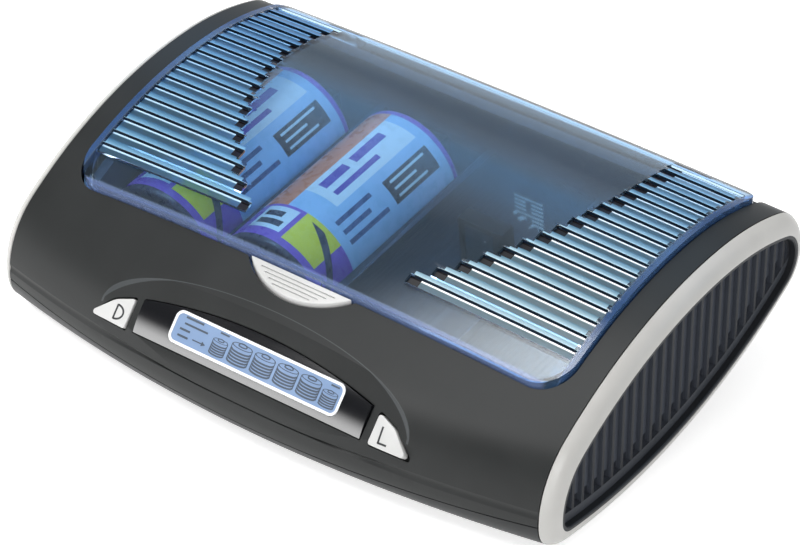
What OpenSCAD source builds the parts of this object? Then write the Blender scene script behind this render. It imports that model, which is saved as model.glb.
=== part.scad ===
// Universal battery charger with a grooved lid over four cell bays.
// Millimetres. X runs along the width, Y from front to back, Z up from the ground under the feet.

/* [Housing] */
// Width of the dark housing between the two end rings
housing_w = 169; // [168.6:0.1:169.4]
// Height of the top line where it meets the rings
top_h = 51.2; // [51:0.1:52]
// Distance of the highest line behind the middle
apex_y = 24.7; // [24.4:0.1:25]
// Radius of the top in front of the highest line
top_front_r = 117; // [115:1:119]
// Radius of the top behind the highest line
top_back_r = 85; // [84:0.5:86]
// Radius of the rounded nose at the front
nose_r = 23; // [22:0.5:24]
// Front of the nose where it meets the rings
nose_y = -50.7; // [-51:0.1:-50.4]
// Radius under the nose
chin_r = 9; // [8.5:0.1:9.5]
// Radius of the rounded back
tail_r = 13.4; // [13:0.1:14]
// Radius of the belly arc
belly_r = 151; // [149:0.5:153]
// How far the front bows forward in the middle
bow = 9.9; // [9.6:0.1:10.2]
// How much higher the top is in the middle
crown = 1.2; // [0.8:0.1:1.4]
// Wall thickness
wall = 2.4; // [2.2:0.1:2.6]
// Height of the parting line at the front
parting_h = 9; // [8.5:0.1:9.5]
// Slope of the parting line towards the back, in degrees
parting_slope = 12.7; // [12:0.1:13]

/* [Lid] */
// Half of the lid's width
lid_half_w = 77.2; // [77:0.1:77.4]
// Front edge of the lid
lid_front = -33.8; // [-34:0.1:-33.6]
// Back edge of the lid
lid_back = 53.4; // [53.2:0.1:53.5]
// How far the lid stands above the housing
lid_proud = 1.3; // [1.1:0.1:1.5]
// Thickness of the lid's skin between the grooves
lid_skin = 2.2; // [2:0.1:2.4]
// Grooves on each side
groove_count = 18; // [14:1:20]
// Width of one groove
groove_w = 2.6; // [2.2:0.1:2.8]
// Depth of one groove
groove_depth = 1; // [0.6:0.1:1.2]
// Outer end of the grooves
groove_end_x = 75.2; // [74:0.1:75.3]
// Radius of the clear window between the two groups of grooves
clear_r = 77; // [74:1:80]

/* [Console] */
// Slope of the console face, in degrees
console_slope = 49.3; // [48.9:0.1:49.7]
// Half of the width of the console's brow, at the foot of its slope
brow_half_w = 50.2; // [49.5:0.1:51]
// Height of the console's brow along the face, at the foot of its slope
brow_h = 20.9; // [20.5:0.1:21.3]
// Half of the display window's width
window_half_w = 36.4; // [36:0.1:36.8]
// Height of the window at its ends, along the face
window_end_h = 9.2; // [9:0.1:9.4]
// Height of the window in its middle, along the face
window_mid_h = 13.6; // [13.4:0.1:13.8]
// Half of the display's width
lcd_half_w = 26.8; // [25.8:0.1:26.9]
// Height of the display along the face
lcd_h = 8.6; // [8.2:0.1:8.7]
// Travel of a button
button_travel = 0.6; // [0.4:0.1:0.6]
// Half of the lid release's width
release_half_w = 15.9; // [15:0.1:16.5]
// Depth of the lid release's half-moon, seen from above
release_depth = 5.8; // [5.4:0.1:6.2]
// Travel of the lid release
release_travel = 1.5; // [1:0.1:1.6]

/* [Bays] */
// Distance between neighbouring bays
bay_pitch = 36; // [35.8:0.1:36.1]
// Radius of a bay's trough
bay_r = 16.9; // [16.8:0.1:17]
// Slope of the bays, in degrees
bay_slope = 7; // [6.5:0.1:7.5]
// Length of a size D cell
cell_len = 61.5; // [60:0.1:61.5]
// Diameter of a size D cell
cell_d = 33; // [32.2:0.1:33.2]
// Free length of an empty bay
empty_len = 42; // [40:0.5:44]

/* [Ends] */
// How far a ring stands out from the housing
ring_w = 3.9; // [3.6:0.1:4.2]
// How far the ring's sloping face runs inwards
ring_round = 4.6; // [4.2:0.1:4.8]
// How much the ring's sloping face is rounded
ring_bulge = 0.8; // [0.5:0.05:1]
// Distance between the flutes of an end panel
flute_pitch = 4.1; // [3.9:0.1:4.3]
// Width of one flute
flute_w = 3; // [2.6:0.1:3.2]
// Depth of one flute
flute_depth = 1.2; // [0.8:0.1:1.6]

/* [Hidden] */
$fn = 64;

dark_grey = "#46484a";
silver = "#dddcda";
lid_blue = "#3f8fd0";
metal = "#c9c6bd";
big = 200;
half_w = housing_w / 2;
belly_y = -24.3;
belly_z = 1;
end_wall = 3.9;
cavity_x = half_w - end_wall;

// Centres of the six arcs of the side profile, each touching its neighbours
belly_c = [belly_y, belly_z + belly_r];
back_c = [apex_y, top_h - top_back_r];
front_c = [apex_y, top_h - top_front_r];
nose_dy = apex_y - nose_y - nose_r;
nose_c = [nose_y + nose_r, front_c[1] + sqrt(pow(top_front_r - nose_r, 2) - nose_dy * nose_dy)];
tail_c = meet(back_c, top_back_r - tail_r, belly_c, belly_r - tail_r, 1);
chin_c = meet(nose_c, nose_r - chin_r, belly_c, belly_r - chin_r, -1);
tail_low_a = bearing(belly_c, tail_c);
tail_high_a = bearing(back_c, tail_c);
nose_high_a = bearing(front_c, nose_c);
nose_low_a = bearing(nose_c, chin_c) + 360;
chin_low_a = bearing(belly_c, chin_c);
// Each arc: centre, radius, first and last angle, number of steps
arcs = [[belly_c, belly_r, chin_low_a, tail_low_a, 10],
    [tail_c, tail_r, tail_low_a, tail_high_a, 12],
    [back_c, top_back_r, tail_high_a, 90, 6],
    [front_c, top_front_r, 90, nose_high_a, 12],
    [nose_c, nose_r, nose_high_a, nose_low_a, 10],
    [chin_c, chin_r, nose_low_a, chin_low_a + 360, 8]];
loft_steps = 10;
loft_xs = [for (i = [0:loft_steps]) half_w * (2 * i / loft_steps - 1)];

// Lid, hinge and release
lid_gap = 0.5;
lid_corner_r = 9;
lid_back_corner_r = 4;
lid_rim = 1.8;
rim_inset = 2.3;
lid_low_z = 30;
opening_low_z = 26;
groove_first_y = -24;
groove_last_y = 48.4;
clear_y = 36;
clear_x = 54;
hinge_y = lid_back + 2.3;
hinge_z = 40.2;
pin_r = 1.3;
pin_fit = 0.02;
hinge_fit = 0.06;
knuckle_r = 2.9;
knuckle_x = 51;
knuckle_w = 10;
ear_w = 3.6;
ear_r = 3.2;
notch_gap = 0.4;
shelf_z = hinge_z + 1.7;
tongue_half_w = 5;
tongue_low_z = 31.4;
release_y = lid_front - 0.55;
release_z = 38.1;
release_slope = 24.5;
release_gap = 0.5;
release_r = (pow(release_half_w, 2) + pow(release_depth, 2)) / (2 * release_depth);
release_low_z = 24;

// Console
console_y = -57.65;
console_z = 19.1;
button_gap = 0.35;
lcd_low = 2.2;
lcd_u = 1.1;
lcd_r = 2.2;
lens_t = 1.8;
lens_crown = 0.9;
lens_gap = 0.12;
lens_ledge = 0.5;
brow_rise = 3;
brow_spread = [1.14, 1.2];
board_face = -7.6;
board_t = 1.6;
button_inner_u = 38.8;
button_tip_u = 50.6;
button_h = 8.2;
stem_u = 42.2;
stem_v = 3.4;
stem_r = 1.3;

// Bays: the frame of a bay has its Y along the cell's axis
cell_y = 5.2;
cell_z = 25.1;
bay_xs = [for (i = [-1.5:1:1.5]) i * bay_pitch];
bay_front = -34.5;
bay_back = 41;
bay_rib_z = 4;
tray_floor = 1;
tray_half = 73.6;
tray_front = -33.2;
tray_back = 50.2;
tray_inset = 2.7;
contact_y = -cell_len / 2 - 0.3;
filled_s = cell_len / 2 + 0.3;
empty_s = contact_y + empty_len;
slider_s = [filled_s, filled_s, empty_s, empty_s];
slider_t = 5;
strip_t = 0.6;
slot_half = 2.2;
channel_x = 14.6;
channel_half = 2.1;
channel_top = -12.6;
channel_front = -16;
spring_r = 1.5;
spring_z = -14.7;

// Base
keel_half = 74;
keel_front = -40;
keel_back = 51;
keel_z = 0.8;
keel_t = 1.6;
boss_x = 77.6;
boss_r = 2.9;
boss_ys = [-18, 26];
boss_meet = [16, 26];
foot_r = 6;
foot_spots = [[75, -36.5, 2.4], [60, 38, 1.4]];
socket_x = -30;
socket_z = 7;
socket_r = 4.2;

// End panels
panel_inset = ring_round + 1.55;
panel_seat = half_w - 1.6;
panel_face = half_w + ring_w - 1.8;
panel_gap = 0.1;
ledge_h = 2.4;
vent_h = 2.6;
vent_w = 2.8;
flute_span = 13;

function polar(c, r, a) = [c[0] + r * cos(a), c[1] + r * sin(a)];

function bearing(from, to) = atan2(to[1] - from[1], to[0] - from[0]);

// Point where two circles cross, on one side of the line between their centres
function meet(c1, r1, c2, r2, side) =
    let (d = norm(c2 - c1), e = (c2 - c1) / d, a = (r1 * r1 - r2 * r2 + d * d) / (2 * d))
    c1 + a * e + side * sqrt(r1 * r1 - a * a) * [e[1], -e[0]];

function arc_points(c, r, a0, a1, n) = [for (i = [0:n - 1]) polar(c, r, a0 + (a1 - a0) * i / n)];

// Side profile of the housing, moved inwards by an inset
function profile(inset) = [for (a = arcs) each arc_points(a[0], a[1] - inset, a[2], a[3], a[4])];

// Top of the side profile, closed well below the lid
function lid_profile(inset) =
    let (top = concat(arc_points(tail_c, tail_r - inset, 35, tail_high_a, 4),
        arc_points(back_c, top_back_r - inset, tail_high_a, 90, 6),
        arc_points(front_c, top_front_r - inset, 90, nose_high_a, 12)))
    concat(top, [[top[len(top) - 1][0], lid_low_z], [top[0][0], lid_low_z]]);

function swell(x) = 1 - pow(x / half_w, 2);

// A point of the profile, bowed and crowned as it is at a place along the width
function shaped(p, x) =
    let (w = max(0, (apex_y - p[0]) / (apex_y - nose_y)))
    [p[0] - bow * swell(x) * pow(w, 3), p[1] * (1 + crown * swell(x) / top_h)];

// Outline with rounded corners: each corner is a point with its radius
function rounded(corners, steps = 6) =
    let (n = len(corners))
    [for (i = [0:n - 1])
        let (p = [corners[i][0], corners[i][1]], r = corners[i][2],
            a = corners[(i + n - 1) % n], b = corners[(i + 1) % n],
            u = ([a[0], a[1]] - p) / norm([a[0], a[1]] - p),
            v = ([b[0], b[1]] - p) / norm([b[0], b[1]] - p),
            half = acos(u * v) / 2, m = (u + v) / norm(u + v),
            c = p + m * r / sin(half),
            a0 = bearing(c, p + u * r / tan(half)),
            turn = 180 - 2 * half)
        for (k = [0:steps]) polar(c, r, a0 + turn * k / steps)];

function lid_outline(grow) = rounded([
    [-lid_half_w - grow, lid_front - grow, lid_corner_r],
    [lid_half_w + grow, lid_front - grow, lid_corner_r],
    [lid_half_w + grow, lid_back + grow, lid_back_corner_r],
    [-lid_half_w - grow, lid_back + grow, lid_back_corner_r]]);

function groove_y(i) = groove_first_y + (groove_last_y - groove_first_y) * i / (groove_count - 1);

function groove_inner_x(y) = clear_x - clear_r + sqrt(pow(clear_r, 2) - pow(y - clear_y, 2));

function parting_z(y) = parting_h + (y - nose_y + bow) * tan(parting_slope);

// Solid swept along the width through bowed and crowned copies of a profile
module loft(points) {
    n = len(points);
    last = len(loft_xs) - 1;
    vertices = [for (x = loft_xs) for (p = points) let (q = shaped(p, x)) [x, q[0], q[1]]];
    sides = [for (i = [0:last - 1]) for (j = [0:n - 1]) let (k = (j + 1) % n)
        each [[i * n + j, (i + 1) * n + j, (i + 1) * n + k], [i * n + j, (i + 1) * n + k, i * n + k]]];
    left = [for (j = [0:n - 1]) j];
    right = [for (j = [n - 1:-1:0]) last * n + j];
    polyhedron(vertices, concat([left, right], sides));
}

// Extrudes a drawing of the YZ plane between two places along the width
module along_x(x0, x1) {
    translate([x0, 0, 0]) rotate([90, 0, 90]) linear_extrude(x1 - x0) children();
}

// Frame of the console: X along it, Y up its face, Z out of it
module console_frame() {
    translate([0, console_y, console_z]) rotate([console_slope, 0, 0]) children();
}

// Frame of the lid release: Y up the slope from its straight edge, Z out of the top
module release_frame() {
    translate([0, release_y, release_z]) rotate([release_slope, 0, 0]) children();
}

// Frame of a bay: Y along the cell's axis, from its middle
module bay_frame(x) {
    translate([x, cell_y, cell_z]) rotate([bay_slope, 0, 0]) children();
}

module both_ends() {
    children();
    mirror([1, 0, 0]) children();
}

module above_parting() {
    translate([0, nose_y - bow, parting_h]) rotate([parting_slope, 0, 0])
        translate([-big, -big, 0]) cube(2 * big);
}

module window_outline(inset) {
    rise = window_mid_h - window_end_h;
    arch_r = (pow(window_half_w, 2) + rise * rise) / (2 * rise);
    intersection() {
        translate([-window_half_w + inset, inset]) square([2 * (window_half_w - inset), window_mid_h]);
        translate([0, window_mid_h - arch_r]) circle(arch_r - inset, $fn = 180);
    }
}

// Triangular button of the right end of the console, with a curved upper edge
module button_outline(grow) {
    polygon(rounded([
        [button_inner_u - grow, -grow, 0.7],
        [button_tip_u + grow * 2.8, 0.4 - grow, 0.8],
        [button_inner_u + 5.6 + grow * 1.1, 6.1 + grow * 1.2, 6],
        [button_inner_u - grow, button_h + grow * 1.8, 0.7]]));
}

module release_outline(grow) {
    intersection() {
        translate([0, release_r - release_depth]) circle(release_r + grow, $fn = 120);
        translate([-big / 2, grow - big]) square(big);
    }
}

// Dark outer shell, upper half: the whole top, the console and the hinge's ears
module upper_housing() {
    color(dark_grey) difference() {
        union() {
            difference() {
                intersection() {
                    loft(profile(0));
                    above_parting();
                }
                along_x(-cavity_x, cavity_x) polygon(profile(wall));
                translate([0, 0, opening_low_z]) linear_extrude(big) polygon(lid_outline(lid_gap));
                translate([-lid_half_w - lid_gap, lid_back - 5, shelf_z]) cube([2 * (lid_half_w + lid_gap), big, big]);
            }
            both_ends() hinge_ears();
            both_ends() upper_bosses();
        }
        both_ends() hinge_notch();
        console_cut();
        both_ends() panel_pocket();
        release_well();
        both_ends() for (i = [0:1]) translate([boss_x, boss_ys[i], boss_meet[i] - 1]) cylinder(h = 13, r = pin_r + pin_fit);
    }
}

module hinge_ears() {
    for (x = [knuckle_x - notch_gap - ear_w, knuckle_x + knuckle_w + notch_gap])
        translate([x, hinge_y, hinge_z]) {
            intersection() {
                rotate([0, 90, 0]) cylinder(h = ear_w, r = ear_r);
                translate([-1, -big / 2, -big]) cube([big, big, big + shelf_z - hinge_z]);
            }
            translate([0, -ear_r + 0.2, -6]) cube([ear_w, 2 * ear_r - 1.6, 6]);
        }
}

module hinge_notch() {
    x0 = knuckle_x - notch_gap;
    w = knuckle_w + 2 * notch_gap;
    translate([x0, hinge_y - knuckle_r - 1.2, hinge_z - knuckle_r - 0.5]) cube([w, 20, 20]);
    translate([x0 - ear_w + 0.6, hinge_y, hinge_z]) rotate([0, 90, 0])
        cylinder(h = w + 2 * ear_w - 1.2, r = pin_r + pin_fit);
}

module upper_bosses() {
    intersection() {
        for (i = [0:1]) translate([boss_x, boss_ys[i], 0]) {
            translate([0, 0, boss_meet[i]]) cylinder(h = 40, r = boss_r);
            translate([0, -1, parting_z(boss_ys[i]) + 1.5]) cube([big, 2, 40]);
        }
        along_x(0, cavity_x + 0.5) polygon(profile(wall + 0.4));
    }
}

// Outline of the console face: half an ellipse over a part that runs off the nose
module brow_outline() {
    steps = 30;
    arch = [for (i = [0:steps]) let (a = 180 * i / steps) [brow_half_w * cos(a), brow_h * sin(a)]];
    polygon(concat(arch, [[-brow_half_w, -brow_h], [brow_half_w, -brow_h]]));
}

// Flat console face below a sloping brow, with the window, the two button wells and the space behind them
module console_cut() {
    console_frame() {
        linear_extrude(brow_rise, scale = brow_spread) brow_outline();
        translate([0, 0, -lens_t]) linear_extrude(lens_t + 5) window_outline(0);
        translate([0, 0, -16]) linear_extrude(16 - lens_t / 2) window_outline(lens_ledge);
        translate([-46.5, 0.6, -15]) cube([93, 11.8, 15 + board_face + 3]);
        both_ends() {
            translate([0, 0, -2.8]) linear_extrude(5) button_outline(button_gap);
            translate([stem_u, stem_v, -8]) cylinder(h = 8, r = stem_r + 0.3);
        }
    }
}

// Seat of an end panel in the end of the housing
module panel_pocket() {
    along_x(panel_seat, big) polygon(profile(panel_inset - panel_gap));
}

module release_well() {
    translate([0, release_y, release_low_z]) linear_extrude(big) release_outline(release_gap);
}

// Dark outer shell, lower half: the belly, a flat keel to stand on and the bosses
module lower_housing() {
    color("#3a3c3e") difference() {
        union() {
            difference() {
                union() {
                    difference() {
                        loft(profile(0));
                        translate([0, 0, -0.3]) above_parting();
                    }
                    keel(0, keel_z, 24);
                }
                along_x(-cavity_x, cavity_x) polygon(profile(wall));
                keel(keel_t, keel_z + keel_t, 40);
            }
            both_ends() lower_bosses();
            tray_posts();
            board_posts();
        }
        translate([0, 0, 6]) console_cut();
        both_ends() panel_pocket();
        both_ends() for (i = [0:1]) translate([boss_x, boss_ys[i], 0]) {
            cylinder(h = 40, r = 1.6);
            translate([0, 0, -1]) cylinder(h = boss_meet[i] - 5, r = 2.7);
        }
        both_ends() for (s = foot_spots) translate([s[0], s[1], -1]) cylinder(h = s[2] + 1, r = foot_r + pin_fit);
        translate([socket_x, 30, socket_z]) rotate([-90, 0, 0]) cylinder(h = 40, r = socket_r + 0.1);
    }
}

module keel(inset, z0, z1) {
    translate([0, 0, z0]) linear_extrude(z1 - z0) polygon(rounded([
        [-keel_half + inset, keel_front + inset, 10 - inset],
        [keel_half - inset, keel_front + inset, 10 - inset],
        [keel_half - inset, keel_back - inset, 10 - inset],
        [-keel_half + inset, keel_back - inset, 10 - inset]]));
}

module lower_bosses() {
    difference() {
        for (i = [0:1]) translate([boss_x, boss_ys[i], belly_z + 1]) cylinder(h = boss_meet[i] - belly_z - 1, r = boss_r + 0.9);
        along_x(0, big) difference() {
            translate([-big / 2, -big / 2]) square(big);
            polygon(profile(wall / 2));
        }
        translate([cavity_x + 1, -big / 2, -big / 2]) cube(big);
    }
}

// Posts under the tray, cut to the slope of its underside
module tray_posts() {
    difference() {
        for (x = [-54, 0, 54]) translate([x - 3, cell_y - 29, keel_z + 0.5]) cube([6, 3, 8]);
        for (x = [-66, 6, 42]) translate([x - 3, cell_y + 40, keel_z + 0.5]) cube([6, 2.4, 18]);
        bay_frame(0) translate([-big / 2, -big / 2, -bay_r - tray_floor]) cube(big);
    }
}

module board_posts() {
    for (x = [-30, 30]) for (y = [18, 36]) translate([x, y, keel_z + 0.5]) cylinder(h = 2.4, r = 2.2);
}

// Silver end ring: a sloping, slightly rounded face from the housing's edge to a narrow rim, swept around the profile
module trim_ring() {
    steps = 6;
    face = [for (i = [0:steps]) let (t = i / steps, rise = 4 * ring_bulge * t * (1 - t))
        [ring_round * t - rise * 0.7, half_w + 0.4 + (ring_w - 0.4) * t + rise * 0.7]];
    section = concat([[ring_round + 1.4, half_w], [0.45, half_w]], face,
        [[ring_round + 1.1, half_w + ring_w], [ring_round + 1.4, half_w + ring_w - 0.3]]);
    rings = [for (s = section) profile(s[0])];
    m = len(section);
    n = len(rings[0]);
    vertices = [for (i = [0:m - 1]) for (p = rings[i]) [section[i][1], p[0], p[1]]];
    faces = [for (i = [0:m - 1]) for (j = [0:n - 1]) let (a = (i + 1) % m, k = (j + 1) % n)
        each [[i * n + j, a * n + j, a * n + k], [i * n + j, a * n + k, i * n + k]]];
    color(silver) polyhedron(vertices, faces);
}

// Fluted panel inside a ring: upright flutes that end in vents above a plain ledge along the bottom
module vent_panel() {
    color("#34373b") difference() {
        along_x(panel_seat, panel_face) polygon(profile(panel_inset));
        along_x(panel_face - flute_depth, big) flutes(flute_w, 0);
        along_x(panel_seat - 1, big) difference() {
            flutes(vent_w, 0.1);
            translate([0, ledge_h + vent_h]) polygon(profile(panel_inset + 0.4));
        }
    }
}

// Row of upright strips inside a panel's edge, above its ledge
module flutes(w, lift) {
    intersection() {
        polygon(profile(panel_inset + 0.8));
        translate([0, ledge_h + lift]) polygon(profile(panel_inset + 0.4));
        for (i = [-flute_span:flute_span]) translate([i * flute_pitch - w / 2, 0]) square([w, big / 2]);
    }
}

// Transparent lid: a crowned skin with two groups of grooves, a rim, two hinge arms and a latch tongue
module lid() {
    color(lid_blue) difference() {
        union() {
            difference() {
                intersection() {
                    union() {
                        difference() {
                            loft(lid_profile(-lid_proud));
                            both_ends() lid_grooves();
                        }
                        loft(lid_profile(groove_depth - lid_proud));
                    }
                    linear_extrude(big) polygon(lid_outline(0));
                }
                intersection() {
                    loft(lid_profile(lid_skin - lid_proud));
                    linear_extrude(big) polygon(lid_outline(-lid_rim));
                }
                along_x(-big / 2, big / 2) polygon(profile(rim_inset));
            }
            both_ends() hinge_arm();
            latch_tongue();
        }
        both_ends() translate([knuckle_x - 1, hinge_y, hinge_z]) rotate([0, 90, 0])
            cylinder(h = knuckle_w + 2, r = pin_r + hinge_fit);
    }
}

module lid_grooves() {
    for (i = [0:groove_count - 1]) {
        y = groove_y(i);
        x0 = groove_inner_x(y);
        translate([x0, y - groove_w / 2, lid_low_z + 0.5]) cube([groove_end_x - x0, groove_w, 40]);
    }
}

module hinge_arm() {
    along_x(knuckle_x, knuckle_x + knuckle_w) {
        translate([hinge_y, hinge_z]) circle(knuckle_r);
        polygon([[hinge_y - knuckle_r + 0.2, hinge_z], [lid_back - 1.6, 44.9], [lid_back - 1.4, 46.2],
            [lid_back - 0.2, 46.2], [hinge_y + 1.4, hinge_z + 2.4]]);
    }
}

module latch_tongue() {
    along_x(-tongue_half_w, tongue_half_w) polygon([[lid_front + 0.9, 38.4],
        [lid_front + 0.9, tongue_low_z + 2], [lid_front + 0.5, tongue_low_z + 1.4], [lid_front + 0.9, tongue_low_z],
        [lid_front + 2.4, tongue_low_z], [lid_front + 2.4, 38.4]]);
}

// Steel hinge pin between two ears of the housing
module hinge_pin() {
    color(metal) translate([knuckle_x - notch_gap - ear_w + 0.8, hinge_y, hinge_z]) rotate([0, 90, 0])
        cylinder(h = knuckle_w + 2 * notch_gap + 2 * ear_w - 1.6, r = pin_r);
}

// Half-moon push button in front of the lid, with grip lines and a boss below
module lid_release() {
    color(silver) difference() {
        union() {
            intersection() {
                translate([0, release_y, release_low_z]) linear_extrude(40) release_outline(0);
                release_frame() translate([-big / 2, -big / 2, -1.9]) cube([big, big, 2.5]);
            }
            translate([-7, release_y - 4, release_z - 6]) cube([14, 2.8, 3.4]);
        }
        release_frame() for (i = [0:2])
            translate([-10 + 2.2 * i, -1.6 - 1.3 * i, 0.3]) cube([20 - 4.4 * i, 0.35, 1]);
    }
}

// Triangular push button: a cap in its well and a stem to the switch behind
module console_button() {
    color(silver) console_frame() {
        translate([0, 0, -1.9]) linear_extrude(2.4) button_outline(0);
        translate([stem_u, stem_v, -4]) cylinder(h = 2.4, r = stem_r);
    }
}

// Dark glossy lens with a crowned face around the display
module display_window() {
    crown_r = (pow(window_mid_h / 2, 2) + pow(lens_crown, 2)) / (2 * lens_crown);
    color("#15161a") console_frame() difference() {
        intersection() {
            translate([0, 0, -lens_t]) linear_extrude(lens_t + 2) window_outline(lens_gap);
            translate([-50, window_mid_h / 2, lens_crown - crown_r]) rotate([0, 90, 0]) cylinder(h = 100, r = crown_r, $fn = 240);
        }
        translate([0, 0, -lens_t - 1]) linear_extrude(5) polygon(lcd_outline(0.1));
    }
}

function lcd_outline(grow) = rounded([
    [lcd_u - lcd_half_w - grow, lcd_low - grow, lcd_r], [lcd_u + lcd_half_w + grow, lcd_low - grow, lcd_r],
    [lcd_u + lcd_half_w + grow, lcd_low + lcd_h + grow, lcd_r],
    [lcd_u - lcd_half_w - grow, lcd_low + lcd_h + grow, lcd_r]]);

// Display glass on its carrier, standing on the display board
module lcd_module() {
    color("#a9bde6") console_frame() {
        translate([0, 0, 0.05 - lens_t]) linear_extrude(lens_t + lens_crown - 0.15) polygon(lcd_outline(0));
        translate([lcd_u + 1.6 - lcd_half_w, lcd_low + 0.5, board_face])
            cube([2 * lcd_half_w - 3.2, lcd_h - 1.7, 0.2 - board_face - lens_t]);
    }
}

module display_board() {
    color("#2f6b45") console_frame() translate([-45.5, 1.4, board_face - board_t]) cube([91, 10.2, board_t]);
}

module button_switches() {
    color("#2a2a2a") console_frame() both_ends() translate([stem_u, stem_v + 1, board_face]) {
        translate([-3, -2.6, 0]) cube([6, 6, 2]);
        translate([0, -1, 1.5]) cylinder(h = 1.2, r = 1.5);
    }
}

// Moulded tray with four sloping troughs, slider slots and spring channels
module battery_tray() {
    color("#3c4a5c") difference() {
        intersection() {
            union() {
                along_x(-tray_half, tray_half) intersection() {
                    polygon(profile(tray_inset));
                    translate([tray_front, 0]) square([tray_back - tray_front, big]);
                }
                intersection() {
                    keel(keel_t + 0.3, keel_z + keel_t + 0.3, 25);
                    translate([-big / 2, tray_front + 0.3, 0]) cube(big);
                }
            }
            bay_frame(0) translate([-big / 2, -big / 2, -bay_r - tray_floor]) cube(big);
        }
        for (x = bay_xs) bay_frame(x) bay_space();
        bay_frame(0) translate([-1.5 * bay_pitch - bay_r + 0.1, bay_front, bay_rib_z])
            cube([3 * bay_pitch + 2 * bay_r - 0.2, bay_back - bay_front, 60]);
        translate([-tongue_half_w - 1, tray_front - 1, tongue_low_z - 1]) cube([2 * tongue_half_w + 2, 4.4, 20]);
    }
}

// What one bay takes out of the tray
module bay_space() {
    length = bay_back - bay_front;
    translate([0, bay_front, 0]) rotate([-90, 0, 0]) cylinder(h = length, r = bay_r);
    translate([-bay_r + 0.1, bay_front, -1]) cube([2 * bay_r - 0.2, length, 60]);
    translate([-slot_half, empty_s, -25]) cube([2 * slot_half, bay_back - empty_s - 1, 12]);
    translate([channel_x - channel_half, channel_front, -40]) cube([2 * channel_half, 80, 40 + channel_top]);
}

// Bent spring strips at the front of the bays
module front_contacts() {
    bulge_r = 12;
    color(metal) for (x = bay_xs) bay_frame(x) along_x(-3, 3) {
        intersection() {
            difference() {
                translate([contact_y - bulge_r, 0]) circle(bulge_r);
                translate([contact_y - bulge_r, 0]) circle(bulge_r - strip_t);
            }
            translate([bay_front, -20]) square(40);
        }
        translate([bay_front, -15.5]) square([strip_t, 8]);
        translate([bay_front, 7.5]) square([strip_t, 4]);
    }
}

// Snap contacts for 9 V blocks beside the strips of the two outer bays
module nine_volt_contacts() {
    color(metal) for (x = [bay_xs[0], bay_xs[3]]) bay_frame(x) translate([0, bay_front, -8.2]) rotate([-90, 0, 0]) {
        translate([-6.4, 0, 0]) cylinder(h = 2.4, r = 2.7);
        translate([6.4, 0, 0]) difference() {
            cylinder(h = 2.4, r = 3.2);
            translate([0, 0, 0.8]) cylinder(h = 3, r = 2.4);
        }
    }
}

// Sprung carriage at the back of a bay, with its neck, keeper and spring hook under the tray
module contact_slider(i) {
    color("#23262b") bay_frame(bay_xs[i]) translate([0, slider_s[i] + strip_t, 0]) {
        intersection() {
            translate([-7, 0, -16]) cube([14, slider_t, 23]);
            rotate([-90, 0, 0]) cylinder(h = slider_t, r = bay_r - 0.5);
        }
        translate([-1.7, 0.5, -19.4]) cube([3.4, slider_t - 1, 5]);
        translate([-4, 0.5, -19.8]) cube([channel_x + 5.2, slider_t - 1, 1.4]);
        translate([channel_x - 1.2, 0.5, -19.8]) cube([2.4, slider_t - 1, 6.6]);
    }
}

// Metal face of a carriage
module slider_contact(i) {
    color(metal) bay_frame(bay_xs[i]) translate([-4.5, slider_s[i], -14]) cube([9, strip_t, 20]);
}

// Closely wound pull springs in the channels beside the troughs
module slider_springs() {
    coil = 1.2;
    color(metal) for (i = [0:3]) bay_frame(bay_xs[i]) {
        length = slider_s[i] + strip_t + 0.2 - channel_front;
        turns = floor(length / coil);
        pitch = length / turns;
        translate([channel_x, channel_front, spring_z]) rotate([-90, 0, 0]) rotate_extrude($fn = 24)
            polygon(concat([[0, 0]], [for (k = [0:turns - 1]) each [[spring_r - 0.4, k * pitch], [spring_r, (k + 0.5) * pitch]]],
                [[spring_r - 0.4, length], [0, length]]));
    }
}

// Charging circuit on four posts under the tray
module main_board() {
    color("#2f6b45") translate([0, 0, keel_z + 2.9]) {
        translate([-50, 14, 0]) cube([100, 26, 1.6]);
        for (x = [-24, -8, 10, 24]) translate([x, 30, 1.5]) cube([9, 7, 2]);
    }
}

// Round power inlet in the back of the keel
module dc_socket() {
    inside = keel_back - keel_t;
    color("#1d1d1f") translate([socket_x, 0, socket_z]) {
        difference() {
            union() {
                translate([0, inside - 1, 0]) rotate([-90, 0, 0]) cylinder(h = keel_t + 1, r = socket_r);
                translate([-5, inside - 7, -4]) cube([10, 7, 8]);
            }
            translate([0, inside - 6, 0]) rotate([-90, 0, 0]) cylinder(h = 20, r = 3.15);
        }
        translate([0, inside - 6.5, 0]) rotate([-90, 0, 0]) cylinder(h = 7, r = 1.05);
    }
}

// Four case screws driven up from the belly
module case_screws() {
    color(metal) both_ends() for (i = [0:1]) translate([boss_x, boss_ys[i], boss_meet[i] - 6]) {
        cylinder(h = 16, r = pin_r);
        translate([0, 0, -1.9]) difference() {
            cylinder(h = 1.9, r = 2.5);
            translate([-1.8, -0.35, -0.1]) cube([3.6, 0.7, 1]);
            translate([-0.35, -1.8, -0.1]) cube([0.7, 3.6, 1]);
        }
    }
}

module feet() {
    color("#1b1b1c") both_ends() for (s = foot_spots) translate([s[0], s[1], 0]) {
        cylinder(h = 0.5, r1 = foot_r - 0.5, r2 = foot_r);
        translate([0, 0, 0.5]) cylinder(h = s[2] - 0.5, r = foot_r);
    }
}

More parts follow.
